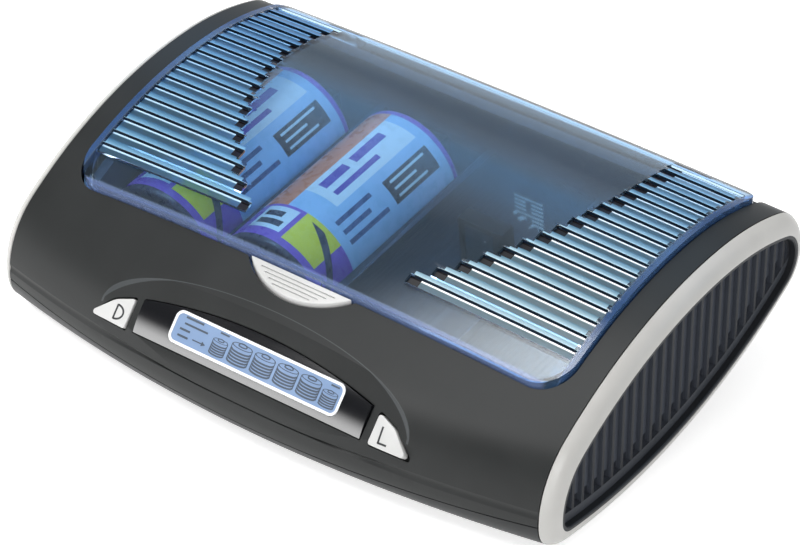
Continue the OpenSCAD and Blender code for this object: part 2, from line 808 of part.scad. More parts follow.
// Size D cell lying in its bay, with the raised contact at the back
module d_cell(i) {
    r = cell_d / 2;
    tip = 1.5;
    can = cell_len - tip;
    color("#6a55c0") bay_frame(bay_xs[i]) translate([0, -cell_len / 2, 0]) rotate([-90, 0, 0]) rotate_extrude()
        polygon([[0, 0.3], [10.5, 0.3], [11, 0], [r - 1.2, 0], [r - 0.35, 0.35], [r, 1.2], [r, can - 1.2],
            [r - 0.35, can - 0.35], [r - 1.2, can], [r - 2.4, can], [r - 2.9, can - 0.4], [7.5, can - 0.4],
            [6.8, can], [5, can], [4.75, can + 0.2], [4.75, cell_len - 0.4], [4.35, cell_len], [0, cell_len]]);
}

lower_housing();
upper_housing();
mirror([1, 0, 0]) trim_ring();  // left_trim_ring
trim_ring();  // right_trim_ring
mirror([1, 0, 0]) vent_panel();  // left_vent_panel
vent_panel();  // right_vent_panel
lid();
mirror([1, 0, 0]) hinge_pin();  // left_hinge_pin
hinge_pin();  // right_hinge_pin
lid_release();
mirror([1, 0, 0]) console_button();  // left_button
console_button();  // right_button
display_window();
lcd_module();
display_board();
button_switches();
battery_tray();
front_contacts();
nine_volt_contacts();
contact_slider(0);  // contact_slider_1
contact_slider(1);  // contact_slider_2
contact_slider(2);  // contact_slider_3
contact_slider(3);  // contact_slider_4
slider_contact(0);  // slider_contact_1
slider_contact(1);  // slider_contact_2
slider_contact(2);  // slider_contact_3
slider_contact(3);  // slider_contact_4
slider_springs();
main_board();
dc_socket();
case_screws();
feet();
d_cell(0);  // d_cell_1
d_cell(1);  // d_cell_2
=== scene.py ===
import math

import bmesh
import bpy
from mathutils import Matrix, Vector


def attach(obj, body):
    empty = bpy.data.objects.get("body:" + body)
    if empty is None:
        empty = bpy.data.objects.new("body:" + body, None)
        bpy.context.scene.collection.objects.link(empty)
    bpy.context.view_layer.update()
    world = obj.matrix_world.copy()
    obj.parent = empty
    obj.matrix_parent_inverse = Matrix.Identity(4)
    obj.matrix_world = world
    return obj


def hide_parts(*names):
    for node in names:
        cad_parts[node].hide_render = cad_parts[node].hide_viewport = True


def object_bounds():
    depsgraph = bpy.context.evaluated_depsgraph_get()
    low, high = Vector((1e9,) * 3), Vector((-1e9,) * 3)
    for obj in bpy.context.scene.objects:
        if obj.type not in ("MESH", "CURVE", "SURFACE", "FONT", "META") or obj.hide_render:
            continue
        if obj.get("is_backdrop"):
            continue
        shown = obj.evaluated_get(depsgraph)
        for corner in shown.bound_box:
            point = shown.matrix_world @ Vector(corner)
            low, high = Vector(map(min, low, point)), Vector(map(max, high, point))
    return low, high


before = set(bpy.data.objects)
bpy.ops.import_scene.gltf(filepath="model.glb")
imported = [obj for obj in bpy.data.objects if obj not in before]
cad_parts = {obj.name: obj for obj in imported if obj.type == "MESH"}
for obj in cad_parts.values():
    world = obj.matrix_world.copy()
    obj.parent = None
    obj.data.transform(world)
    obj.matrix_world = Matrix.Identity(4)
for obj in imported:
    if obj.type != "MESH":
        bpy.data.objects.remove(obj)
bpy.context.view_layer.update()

# Lower housing
# The bottom half of the shell: a bowed tub of dark grained plastic with a flat keel to stand on.
# It is moulded in one piece, and four screws from below hold it against the top half.
MM = 0.001
HALF_W, TOP_H, APEX_Y, NOSE_Y = 84.5, 51.2, 24.7, -50.7
BOW, CROWN, WALL, END_WALL = 9.9, 1.2, 2.4, 3.9
FRONT_R, BACK_R, NOSE_R, CHIN_R, TAIL_R, BELLY_R = 117.0, 85.0, 23.0, 9.0, 13.4, 151.0
BELLY_Y, BELLY_Z = -24.3, 1.0
PARTING_H, PARTING_SLOPE, SEAM = 9.0, math.radians(12.7), 0.3
KEEL_HALF, KEEL_FRONT, KEEL_BACK = 74.0, -40.0, 51.0
KEEL_Z, KEEL_T, KEEL_R = 0.8, 1.6, 10.0
PANEL_INSET, PANEL_GAP, PANEL_SEAT = 6.15, 0.1, HALF_W - 1.6
FOOT_SPOTS, FOOT_HOLE = [(75.0, -36.5, 2.4), (60.0, 38.0, 1.4)], 6.02
SCREW_X, SCREW_SPOTS = 77.6, [(-18.0, 16.0), (26.0, 26.0)]
SCREW_HOLE, HEAD_HOLE, HEAD_DROP = 1.6, 2.7, 6.0
BOSS_R, BOSS_STEP = 2.9, 0.9
SOCKET_X, SOCKET_Z, SOCKET_HOLE = -30.0, 7.0, 4.3
ACROSS = Matrix(((0, 0, 1, 0), (1, 0, 0, 0), (0, 1, 0, 0), (0, 0, 0, 1)))
BACKWARDS = Matrix(((1, 0, 0, 0), (0, 0, 1, 0), (0, -1, 0, 0), (0, 0, 0, 1)))
cavity_x = HALF_W - END_WALL


def meet(c1, r1, c2, r2, side):
    """Point where two circles cross, on one side of the line between their centres."""
    d = math.dist(c1, c2)
    ey, ez = (c2[0] - c1[0]) / d, (c2[1] - c1[1]) / d
    a = (r1 * r1 - r2 * r2 + d * d) / (2 * d)
    h = side * math.sqrt(r1 * r1 - a * a)
    return c1[0] + a * ey + h * ez, c1[1] + a * ez - h * ey


def bearing(c, p):
    return math.atan2(p[1] - c[1], p[0] - c[0])


belly_c = (BELLY_Y, BELLY_Z + BELLY_R)
back_c = (APEX_Y, TOP_H - BACK_R)
front_c = (APEX_Y, TOP_H - FRONT_R)
nose_dy = APEX_Y - NOSE_Y - NOSE_R
nose_c = (NOSE_Y + NOSE_R, front_c[1] + math.sqrt((FRONT_R - NOSE_R) ** 2 - nose_dy ** 2))
tail_c = meet(back_c, BACK_R - TAIL_R, belly_c, BELLY_R - TAIL_R, 1)
chin_c = meet(nose_c, NOSE_R - CHIN_R, belly_c, BELLY_R - CHIN_R, -1)
tail_low, tail_high = bearing(belly_c, tail_c), bearing(back_c, tail_c)
nose_high, nose_low = bearing(front_c, nose_c), bearing(nose_c, chin_c) + math.tau
chin_low = bearing(belly_c, chin_c)
SIDE_ARCS = [(belly_c, BELLY_R, chin_low, tail_low), (tail_c, TAIL_R, tail_low, tail_high),
             (back_c, BACK_R, tail_high, math.pi / 2), (front_c, FRONT_R, math.pi / 2, nose_high),
             (nose_c, NOSE_R, nose_high, nose_low), (chin_c, CHIN_R, nose_low, chin_low + math.tau)]


def arc_run(arcs, inset, step):
    """Points along touching arcs, all moved inwards by an inset."""
    run = []
    for c, r, a0, a1 in arcs:
        n = max(4, round((a1 - a0) * r / step))
        for i in range(n):
            a = a0 + (a1 - a0) * i / n
            run.append((c[0] + (r - inset) * math.cos(a), c[1] + (r - inset) * math.sin(a)))
    return run


def side_profile(inset, step=1.6):
    return arc_run(SIDE_ARCS, inset, step)


def bowed(y, z, x):
    """A point of the side profile, bowed and crowned as it is at a place along the width."""
    swell = 1 - (x / HALF_W) ** 2
    w = max(0.0, (APEX_Y - y) / (APEX_Y - NOSE_Y))
    return y - BOW * swell * w ** 3, z * (1 + CROWN * swell / TOP_H)


def solid(name, corners, faces):
    """New object from corners in millimetres."""
    mesh = bpy.data.meshes.new(name)
    mesh.from_pydata([(x * MM, y * MM, z * MM) for x, y, z in corners], [], faces)
    piece = bpy.data.objects.new(name, mesh)
    bpy.context.scene.collection.objects.link(piece)
    return piece


def swept(name, rows):
    """Closed solid through rows of points, each row going once round the piece."""
    n, last = len(rows[0]), len(rows) - 1
    faces = [tuple(reversed(range(n))), tuple(last * n + j for j in range(n))]
    for i in range(last):
        for j in range(n):
            k = (j + 1) % n
            faces.append((i * n + j, i * n + k, (i + 1) * n + k, (i + 1) * n + j))
    return solid(name, [p for row in rows for p in row], faces)


def loft(name, outline, step=2.0):
    """Solid swept along the width through bowed and crowned copies of an outline."""
    stations = round(2 * HALF_W / step)
    xs = [HALF_W * (2 * i / stations - 1) for i in range(stations + 1)]
    return swept(name, [[(x, *bowed(y, z, x)) for y, z in outline] for x in xs])


def prism(name, outline, low, high, place=Matrix(), spread=(1, 1)):
    """Outline extruded along the third axis of a frame, with its far end spread if asked."""
    near = [place @ Vector((x, y, low)) for x, y in outline]
    far = [place @ Vector((x * spread[0], y * spread[1], high)) for x, y in outline]
    return swept(name, [near, far])


def along_width(name, inset, low, high):
    """Side profile of the shell with an inset, extruded along the width."""
    return prism(name, side_profile(inset), low, high, ACROSS)


def block(name, low, high, place=Matrix()):
    outline = [(low[0], low[1]), (high[0], low[1]), (high[0], high[1]), (low[0], high[1])]
    return prism(name, outline, low[2], high[2], place)


def rounded(corners, steps=8):
    """Outline with rounded corners: each corner is a point with its radius."""
    outline = []
    n = len(corners)
    for i, (x, y, r) in enumerate(corners):
        p = Vector((x, y))
        u = (Vector(corners[i - 1][:2]) - p).normalized()
        v = (Vector(corners[(i + 1) % n][:2]) - p).normalized()
        half = math.acos(max(-1, min(1, u.dot(v)))) / 2
        c = p + (u + v).normalized() * (r / math.sin(half))
        first = bearing(c, p + u * (r / math.tan(half)))
        outline += [(c.x + r * math.cos(first + (math.pi - 2 * half) * k / steps),
                     c.y + r * math.sin(first + (math.pi - 2 * half) * k / steps)) for k in range(steps + 1)]
    return outline


def rounded_box(left, right, front, back, front_r, back_r, steps=8):
    return rounded([(left, front, front_r), (right, front, front_r), (right, back, back_r), (left, back, back_r)],
                   steps)


def round_bar(name, r, low, high, place, steps=48):
    circle = [(r * math.cos(math.tau * k / steps), r * math.sin(math.tau * k / steps)) for k in range(steps)]
    return prism(name, circle, low, high, place)


def span(side, near, far):
    """Lower and upper end of a stretch of the width, in the left or the right half."""
    return sorted((side * near, side * far))


def freeze(piece):
    """Turns a piece and its modifiers into a plain mesh."""
    seen = piece.evaluated_get(bpy.context.evaluated_depsgraph_get())
    plain = bpy.data.meshes.new_from_object(seen)
    old = piece.data
    piece.modifiers.clear()
    piece.data = plain
    bpy.data.meshes.remove(old)


def discard(piece):
    worn = piece.data
    bpy.data.objects.remove(piece)
    bpy.data.meshes.remove(worn)


def combine(piece, how, *tools):
    """Cuts, joins or keeps what a piece shares with other solids, which are used up."""
    for tool in tools:
        step = piece.modifiers.new("combine", "BOOLEAN")
        step.operation = how
        step.solver = "MANIFOLD"
        step.object = tool
        freeze(piece)
        discard(tool)


def smooth(piece, degrees=30):
    """Merges doubles and shades a piece smooth, apart from its real edges."""
    b = bmesh.new()
    b.from_mesh(piece.data)
    bmesh.ops.remove_doubles(b, verts=b.verts, dist=0.002 * MM)
    bmesh.ops.dissolve_degenerate(b, edges=b.edges, dist=0.001 * MM)
    b.to_mesh(piece.data)
    b.free()
    piece.data.shade_smooth()
    piece.data.set_sharp_from_angle(angle=math.radians(degrees))


def paint(piece, *materials):
    piece.data.materials.clear()
    for material in materials:
        piece.data.materials.append(material)


def tone(code):
    """Linear colour of a hex code."""
    parts = [int(code[i:i + 2], 16) / 255 for i in (1, 3, 5)]
    return tuple(v / 12.92 if v < 0.04045 else ((v + 0.055) / 1.055) ** 2.4 for v in parts) + (1.0,)


class Wiring:
    """Adds nodes to a tree. An input takes a plain value or the output of another node."""

    def __init__(self, tree):
        self.tree = tree

    def feed(self, slot, value):
        if isinstance(value, bpy.types.NodeSocket):
            self.tree.links.new(value, slot)
        elif value is not None:
            slot.default_value = value

    def add(self, kind, inputs={}, **settings):
        node = self.tree.nodes.new(kind)
        for name, value in settings.items():
            setattr(node, name, value)
        for slot, value in inputs.items():
            self.feed(node.inputs[slot], value)
        return node

    def maths(self, how, a, b=None):
        return self.add("ShaderNodeMath", {0: a, 1: b}, operation=how).outputs[0]

    def times(self, a, b):
        return self.maths("MULTIPLY", a, b)

    def squared(self, value):
        return self.maths("POWER", self.maths("ABSOLUTE", value), 2.0)

    def between(self, value, low, high):
        """1 where a value lies between two limits, and 0 elsewhere."""
        return self.times(self.maths("GREATER_THAN", value, low), self.maths("LESS_THAN", value, high))

    def spread(self, value, first, last, low=0.0, high=1.0, kind="LINEAR"):
        """Goes from a first to a last number while a value goes from a low to a high one."""
        return self.add("ShaderNodeMapRange", {"Value": value, "From Min": low, "From Max": high,
                                               "To Min": first, "To Max": last}, interpolation_type=kind).outputs[0]

    def bands(self, value, stops):
        """Colour by value through a row of stops."""
        ramp = self.add("ShaderNodeValToRGB", {"Fac": value})
        row = ramp.color_ramp.elements
        while len(row) < len(stops):
            row.new(0.5)
        for stop, (place, code) in zip(row, stops):
            stop.position = place
            stop.color = tone(code)
        return ramp.outputs["Color"]

    def mix(self, share, first, second, how="MIX"):
        """Colour that goes from a first to a second one with a share."""
        return self.add("ShaderNodeMix", {0: share, 6: first, 7: second}, data_type="RGBA", blend_type=how).outputs[2]

    def point(self):
        return self.add("ShaderNodeTexCoord").outputs["Object"]

    def noise(self, scale, detail):
        """Noise on the piece's own coordinates."""
        return self.add("ShaderNodeTexNoise", {"Scale": scale, "Detail": detail, "Vector": self.point()}).outputs["Fac"]

    def place(self, origin=None, turn=None):
        """The three coordinates of a point of the piece, measured in another frame if one is given."""
        point = self.point()
        if origin is not None:
            point = self.add("ShaderNodeMapping", {"Vector": point, "Location": origin, "Rotation": turn},
                             vector_type="TEXTURE").outputs["Vector"]
        return self.add("ShaderNodeSeparateXYZ", {"Vector": point}).outputs


def new_material(name):
    """Empty material, with its wiring and the inputs of its surface."""
    material = bpy.data.materials.new(name)
    material.use_nodes = True
    return material, Wiring(material.node_tree), material.node_tree.nodes["Principled BSDF"].inputs


def moulded(name, dark, light, rough, grain=1400, depth=0.02, specular=0.5):
    """Moulded plastic: slightly uneven colour and gloss, with a fine grain."""
    material, wires, skin = new_material(name)
    cloud = wires.noise(60, 3)
    wires.feed(skin["Base Color"], wires.bands(cloud, [(0.3, dark), (0.7, light)]))
    wires.feed(skin["Roughness"], wires.spread(cloud, rough - 0.06, rough + 0.06))
    bump = wires.add("ShaderNodeBump", {"Strength": 0.5, "Distance": depth * MM, "Height": wires.noise(grain, 2)})
    wires.feed(skin["Normal"], bump.outputs["Normal"])
    skin["Specular IOR Level"].default_value = specular
    return material


def above_parting(gap):
    """Big block over the sloping line where the two halves of the shell meet."""
    place = Matrix.Translation((0, NOSE_Y - BOW, PARTING_H + gap)) @ Matrix.Rotation(PARTING_SLOPE, 4, "X")
    return block("parting", (-150, -150, 0), (150, 250, 150), place)


def keel(name, inset, low, high):
    r = KEEL_R - inset
    return prism(name, rounded_box(inset - KEEL_HALF, KEEL_HALF - inset, KEEL_FRONT + inset, KEEL_BACK - inset, r, r),
                 low, high)


def panel_pocket(side):
    """Shallow seat for an end panel in one end of the shell."""
    return along_width("panel_pocket", PANEL_INSET - PANEL_GAP, *span(side, PANEL_SEAT, 120))


lower_shell = loft("lower_shell", side_profile(0))
combine(lower_shell, "DIFFERENCE", above_parting(-SEAM))
combine(lower_shell, "UNION", keel("keel", 0, KEEL_Z, 20))
combine(lower_shell, "DIFFERENCE", along_width("hollow", WALL, -cavity_x, cavity_x),
        keel("keel_hollow", KEEL_T, KEEL_Z + KEEL_T, 60))
for side in (-1, 1):
    combine(lower_shell, "DIFFERENCE", panel_pocket(side))
    for x, y, h in FOOT_SPOTS:
        spot = Matrix.Translation((side * x, y, 0))
        combine(lower_shell, "DIFFERENCE", round_bar("recess", FOOT_HOLE, -1, h, spot))
    for y, h in SCREW_SPOTS:
        spot = Matrix.Translation((side * SCREW_X, y, 0))
        boss = round_bar("boss", BOSS_R + BOSS_STEP, 0, h, spot)
        combine(boss, "INTERSECT", along_width("inside", WALL / 2, -cavity_x - 1, cavity_x + 1))
        combine(lower_shell, "UNION", boss)
        combine(lower_shell, "DIFFERENCE", round_bar("counterbore", HEAD_HOLE, -1, h - HEAD_DROP, spot),
                round_bar("screw_hole", SCREW_HOLE, 0, 40, spot))
spot = Matrix.Translation((SOCKET_X, 0, SOCKET_Z)) @ BACKWARDS
combine(lower_shell, "DIFFERENCE", round_bar("inlet_hole", SOCKET_HOLE, 40, 60, spot))
smooth(lower_shell, 14)
housing_grey = moulded("housing_grey", "#1c1e1f", "#222425", 0.46, specular=0.3)
paint(lower_shell, housing_grey)
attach(lower_shell, "base")
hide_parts("lower_housing")

# Feet
# Four round pads of black rubber, pressed into shallow recesses of the lower housing.
# Their lower edge is bevelled so that they don't peel off.
PAD_OUTLINE = [(0.6, 0.15), (4.6, 0.15), (5.1, 0), (5.5, 0.08), (5.9, 0.5), (6.0, 0.8)]
foot_rubber = moulded("foot_rubber", "#141414", "#1c1c1c", 0.8, grain=2200, depth=0.03, specular=0.3)


def lathe(name, outline, place=Matrix(), steps=64):
    """Solid of revolution about the third axis of a frame: each point is a radius and a height."""
    n = len(outline)
    corners, faces = [], []
    for k in range(steps):
        a = math.tau * k / steps
        corners += [place @ Vector((r * math.cos(a), r * math.sin(a), h)) for r, h in outline]
    for k in range(steps):
        m = (k + 1) % steps
        faces += [(k * n + j, m * n + j, m * n + j + 1, k * n + j + 1) for j in range(n - 1)]
    faces.append(tuple(k * n for k in reversed(range(steps))))
    faces.append(tuple(k * n + n - 1 for k in range(steps)))
    return solid(name, corners, faces)


def join(name, pieces):
    """One object from several loose solids."""
    b = bmesh.new()
    for piece in pieces:
        b.from_mesh(piece.data)
        discard(piece)
    whole = solid(name, [], [])
    b.to_mesh(whole.data)
    b.free()
    return whole


pads = join("foot_pads", [lathe("pad", PAD_OUTLINE + [(6.0, h)], Matrix.Translation((side * x, y, 0)))
                          for side in (-1, 1) for x, y, h in FOOT_SPOTS])
smooth(pads, 40)
paint(pads, foot_rubber)
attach(pads, "base")
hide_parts("feet")

# Case screws, power inlet and boards
# Dark plated screws with a cross recess, a round low-voltage inlet and two green circuit boards.
# All of them sit inside the shell, and only the screw heads and the inlet show from outside.


def plated(name, dark, light, rough):
    """Plated metal with faint rubbing marks."""
    material, wires, skin = new_material(name)
    cloud = wires.noise(300, 4)
    wires.feed(skin["Base Color"], wires.bands(cloud, [(0, dark), (1, light)]))
    wires.feed(skin["Roughness"], wires.spread(cloud, rough - 0.08, rough + 0.08))
    skin["Metallic"].default_value = 1.0
    return material


def dress(node, material):
    """Gives a CAD node whose shape is right a better finish."""
    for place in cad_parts[node].material_slots:
        place.material = material


def merged_copy(node, name, degrees=35):
    """The CAD solid as one smooth-shaded mesh in place of its loose triangles."""
    piece = bpy.data.objects.new(name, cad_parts[node].data.copy())
    bpy.context.scene.collection.objects.link(piece)
    smooth(piece, degrees)
    return piece


inlet_black = moulded("inlet_black", "#161617", "#1d1d1e", 0.45)
board_green = moulded("board_green", "#1d4a2c", "#25573a", 0.4, grain=500)
dress("case_screws", plated("screw_zinc", "#2c2d31", "#44454a", 0.45))
dress("main_board", board_green)
dress("display_board", board_green)
dress("button_switches", inlet_black)
inlet = merged_copy("dc_socket", "power_inlet")
paint(inlet, inlet_black)
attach(inlet, "base")
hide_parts("dc_socket")

# Battery tray
# A moulded insert of blue-grey plastic with four sloping troughs, slots for the sliders and low ribs.
# It drops onto posts of the lower housing, and a group of pale bars is laid over the colour of its back wall.
CELL_Y, CELL_Z, BAY_SLOPE, BAY_PITCH = 5.2, 25.1, math.radians(7.0), 36.0
BAY_XS = [BAY_PITCH * (i - 1.5) for i in range(4)]
PALE_BARS_Y, PALE_BAR_HALF_H = 46.0, 0.3
PALE_BARS = [(6.6, 15.7, z) for z in (22.4, 17.1)]
PALE_BARS += [bar for z in (21.1, 19.8, 18.5, 15.8, 14.5) for bar in ((6.6, 10.2, z), (11.9, 15.7, z))]


def bay_frame(x):
    """Frame of a bay: its second axis runs along the cell, from the cell's middle."""
    return Matrix.Translation((x, CELL_Y, CELL_Z)) @ Matrix.Rotation(BAY_SLOPE, 4, "X")


def overlay(material, code, mask):
    """Lays another colour over a finish where a mask is 1."""
    wires = Wiring(material.node_tree)
    base = material.node_tree.nodes["Principled BSDF"].inputs["Base Color"]
    wires.feed(base, wires.mix(mask, base.links[0].from_socket, tone(code)))


tray = merged_copy("battery_tray", "bay_tray")
tray_grey = moulded("tray_grey", "#22344a", "#283b52", 0.5, grain=3000, depth=0.0006)
wires = Wiring(tray_grey.node_tree)
spot = wires.place()
on_wall = wires.maths("GREATER_THAN", spot["Y"], PALE_BARS_Y * MM)
for first, last, level in PALE_BARS:
    bar = wires.times(wires.between(spot["X"], first * MM, last * MM),
                      wires.between(spot["Z"], (level - PALE_BAR_HALF_H) * MM, (level + PALE_BAR_HALF_H) * MM))
    overlay(tray_grey, "#f4ffff", wires.times(on_wall, bar))
paint(tray, tray_grey)
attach(tray, "base")
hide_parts("battery_tray")

# Contacts of the bays
# Bent strips of nickel-plated spring steel at the front, and snap studs for block batteries beside two of them.
# They are clipped into the tray's front wall.
nickel = plated("nickel", "#a9a59a", "#d6d2c6", 0.25)
for node, name in (("front_contacts", "front_strips"), ("nine_volt_contacts", "snap_studs")):
    strips = merged_copy(node, name)
    paint(strips, nickel)
    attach(strips, "base")
    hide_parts(node)

# Sliders and their springs
# Each bay has a black carriage with a metal face that a pull spring draws towards the front.
# The coil lies in a channel of the tray beside the trough.
CHANNEL_X, CHANNEL_FRONT, SPRING_Z, SPRING_R, WIRE_R, COIL_PITCH = 14.6, -16.0, -14.7, 1.25, 0.25, 0.62
SLIDER_FACES, SPRING_HOOK = [31.05, 31.05, 10.95, 10.95], 0.8
slider_black = moulded("slider_black", "#060708", "#0b0c0e", 0.5, specular=0.15)
for i in range(1, 5):
    for node, name, material, finish in (
            ("contact_slider_%d" % i, "carriage_%d" % i, slider_black, "slider_plastic"),
            ("slider_contact_%d" % i, "carriage_face_%d" % i, nickel, "contact_metal")):
        carriage = merged_copy(node, name)
        paint(carriage, material)
        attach(carriage, "slider_%d" % i)
        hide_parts(node)


def new_tree(name, kinds):
    """Empty geometry tree, as its wiring and its named inputs."""
    tree = bpy.data.node_groups.new(name, "GeometryNodeTree")
    tree.interface.new_socket("Geometry", in_out="OUTPUT", socket_type="NodeSocketGeometry")
    for label, kind in kinds.items():
        tree.interface.new_socket(label, in_out="INPUT", socket_type="NodeSocket" + kind)
    wires = Wiring(tree)
    return wires, wires.add("NodeGroupInput").outputs


def close_tree(wires, geometry, material):
    """Ends a tree: copies become real mesh and get their finish."""
    real = wires.add("GeometryNodeRealizeInstances", {"Geometry": geometry})
    done = wires.add("GeometryNodeSetMaterial", {"Geometry": real.outputs["Geometry"], "Material": material})
    wires.add("NodeGroupOutput", {"Geometry": done.outputs["Geometry"]})
    return wires.tree


def grow(name, tree, values):
    """Object that a node tree fills, with its inputs set by identifier, then frozen to a plain mesh."""
    piece = solid(name, [], [])
    step = piece.modifiers.new("grow", "NODES")
    step.node_group = tree
    sockets = {s.name: s.identifier for s in tree.interface.items_tree if s.in_out == "INPUT"}
    for label, value in values.items():
        step[sockets[label]] = value
    freeze(piece)
    return piece


wires, given = new_tree("coil", {"Turns": "Float", "Length": "Float", "Radius": "Float", "Wire": "Float",
                                 "Finish": "Material"})
spiral = wires.add("GeometryNodeCurveSpiral", {
    "Resolution": 14, "Rotations": given["Turns"], "Height": given["Length"],
    "Start Radius": given["Radius"], "End Radius": given["Radius"]})
ring = wires.add("GeometryNodeCurvePrimitiveCircle", {"Resolution": 6, "Radius": given["Wire"]})
tube = wires.add("GeometryNodeCurveToMesh", {
    "Curve": spiral.outputs["Curve"], "Profile Curve": ring.outputs["Curve"], "Fill Caps": True})
coil_tree = close_tree(wires, tube.outputs["Mesh"], given["Finish"])
spring_steel = plated("spring_steel", "#8a8883", "#b5b3ad", 0.3)
coils = []
for x, face in zip(BAY_XS, SLIDER_FACES):
    length = face + SPRING_HOOK - CHANNEL_FRONT
    coil = grow("coil", coil_tree, {"Turns": length / COIL_PITCH, "Length": length * MM, "Radius": SPRING_R * MM,
                                    "Wire": WIRE_R * MM, "Finish": spring_steel})
    place = bay_frame(x) @ Matrix.Translation((CHANNEL_X, CHANNEL_FRONT, SPRING_Z))
    place = place @ Matrix.Rotation(-math.pi / 2, 4, "X")
    place.translation *= MM
    coil.data.transform(place)
    coils.append(coil)
springs = join("slider_coils", coils)
smooth(springs, 60)
paint(springs, spring_steel)
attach(springs, "base")
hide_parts("slider_springs")

# Cells
# Two size D cells in the left bays: steel cans in a printed sleeve with coloured fields, a flat end at the front.
# They only lie in their troughs, so they belong to the base.
CELL_R, CELL_LEN, CELL_TIP, SLANT, EVER = 16.5, 61.5, 1.5, 0.55, 99.0
can = CELL_LEN - CELL_TIP
CELL_OUTLINE = [(0.3, 0.3), (10.4, 0.3), (10.7, 0.1), (11.0, 0.0), (15.2, 0.0), (15.9, 0.12), (16.3, 0.5), (16.5, 1.2),
                (16.5, can - 1.2), (16.3, can - 0.5), (15.9, can - 0.12), (15.2, can), (14.2, can), (13.7, can - 0.4),
                (7.5, can - 0.4), (6.8, can), (5.0, can), (4.75, can + 0.2), (4.75, CELL_LEN - 0.4), (4.35, CELL_LEN),
                (0.3, CELL_LEN)]


def cell_sleeve(name, x):
    """Printed sleeve: fields of colour by length and by turn around the cell's axis."""
    material, wires, skin = new_material(name)
    spot = wires.place((x * MM, CELL_Y * MM, CELL_Z * MM), (BAY_SLOPE, 0, 0))
    along = wires.times(spot["Y"], 1 / MM)
    turn = wires.times(wires.maths("ARCTAN2", spot["X"], spot["Z"]), CELL_R)
    off_axis = wires.maths("ADD", wires.squared(spot["X"]), wires.squared(spot["Z"]))
    radius = wires.times(wires.maths("POWER", off_axis, 0.5), 1 / MM)
    slant = wires.maths("ADD", along, wires.times(turn, SLANT))
    fields = [("#b0d6f8", -16.0, 27.0, turn, -EVER, EVER), ("#f7936a", -16.0, 27.0, turn, -13.0, -3.5),
              ("#f2fbff", -9.0, 24.0, turn, -3.5, 7.0), ("#6a4fb4", -6.0, 4.0, turn, -1.6, 1.2),
              ("#6a4fb4", 6.5, 19.0, turn, -1.6, 1.2), ("#6a4fb4", -6.0, 12.0, turn, 3.2, 4.8),
              ("#355486", -13.0, 1.0, turn, 9.6, 10.9), ("#355486", -13.0, -2.0, turn, 12.6, 13.9),
              ("#355486", -13.0, 3.0, turn, 15.6, 16.9), ("#18242c", 6.0, 24.0, turn, 10.0, 17.0),
              ("#d8eef4", 8.0, 22.0, turn, 11.0, 11.7), ("#d8eef4", 8.0, 17.0, turn, 13.1, 13.8),
              ("#d8eef4", 8.0, 20.0, turn, 15.2, 15.9), ("#fff13a", -27.0, -16.0, turn, 3.0, 15.0),
              ("#2a3550", -25.5, -17.5, slant, -14.5, -12.0), ("#f2fbff", -26.0, -17.0, turn, -9.0, 1.5),
              ("#26324a", -24.4, -22.2, turn, -7.6, 0.2), ("#26324a", -21.0, -18.8, turn, -7.6, -1.6),
              ("#2b2947", -EVER, -29.2, turn, -EVER, EVER), ("#4a4666", -EVER, -29.6, radius, -EVER, 10.6),
              ("#2b2947", 28.6, EVER, turn, -EVER, EVER)]
    colour = tone("#8a58c8")
    for code, near, far, measure, low, high in fields:
        mask = wires.times(wires.between(along, near, far), wires.between(measure, low, high))
        colour = wires.mix(mask, colour, tone(code))
    wires.feed(skin["Base Color"], colour)
    wires.feed(skin["Roughness"], wires.spread(wires.noise(400, 3), 0.22, 0.34))
    return material


for i, x in enumerate(BAY_XS[:2], 1):
    place = bay_frame(x) @ Matrix.Translation((0, -CELL_LEN / 2, 0)) @ Matrix.Rotation(-math.pi / 2, 4, "X")
    cell = lathe("cell_%d" % i, CELL_OUTLINE, place, 96)
    smooth(cell, 40)
    paint(cell, cell_sleeve("cell_sleeve_%d" % i, x))
    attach(cell, "base")
    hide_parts("d_cell_%d" % i)

# Upper housing
# The top half of the shell, in the same dark grained plastic, with the opening for the lid and the flat console.
# It carries the hinge's ears at the back and is clamped to the lower half by the case screws.
LID_HALF_W, LID_FRONT, LID_BACK, LID_GAP, OPENING_Z = 77.2, -33.8, 53.4, 0.5, 26.0
HINGE_Y, HINGE_Z, SHELF_Z = LID_BACK + 2.3, 40.2, 41.9
KNUCKLE_X, KNUCKLE_W, KNUCKLE_R, EAR_W, EAR_R, NOTCH_GAP = 51.0, 10.0, 2.9, 3.6, 3.2, 0.4
CONSOLE = Matrix.Translation((0, -57.65, 19.1)) @ Matrix.Rotation(math.radians(49.3), 4, "X")
BROW_HALF_W, BROW_H, BROW_RISE, BROW_SPREAD = 50.2, 20.9, 3.0, (1.14, 1.2)
ROLL_R, ROLL_V, ROLL_DEPTH, LIP_Z = 14.0, -0.3, 8.0, 14.6
WINDOW_HALF_W, WINDOW_END_H, WINDOW_MID_H, WINDOW_DEPTH = 36.4, 9.2, 13.6, 1.8
RELEASE_HALF_W, RELEASE_DEPTH, RELEASE_GAP = 15.9, 5.8, 0.7
RELEASE_Y = LID_FRONT - 0.55
BUTTON_GAP, BUTTON_WELL, BOSS_RIB, BOSS_ROOM = 0.35, 2.8, 1.0, 0.4


def lid_outline(spread):
    return rounded_box(-LID_HALF_W - spread, LID_HALF_W + spread, LID_FRONT - spread, LID_BACK + spread, 9.0, 4.0, 12)


def brow_outline():
    """Console face: half an ellipse over a straight part that runs out below the nose."""
    arch = [math.pi * i / 90 for i in range(91)]
    return [(BROW_HALF_W * math.cos(a), BROW_H * math.sin(a)) for a in arch] + [
        (-BROW_HALF_W, -BROW_H), (BROW_HALF_W, -BROW_H)]


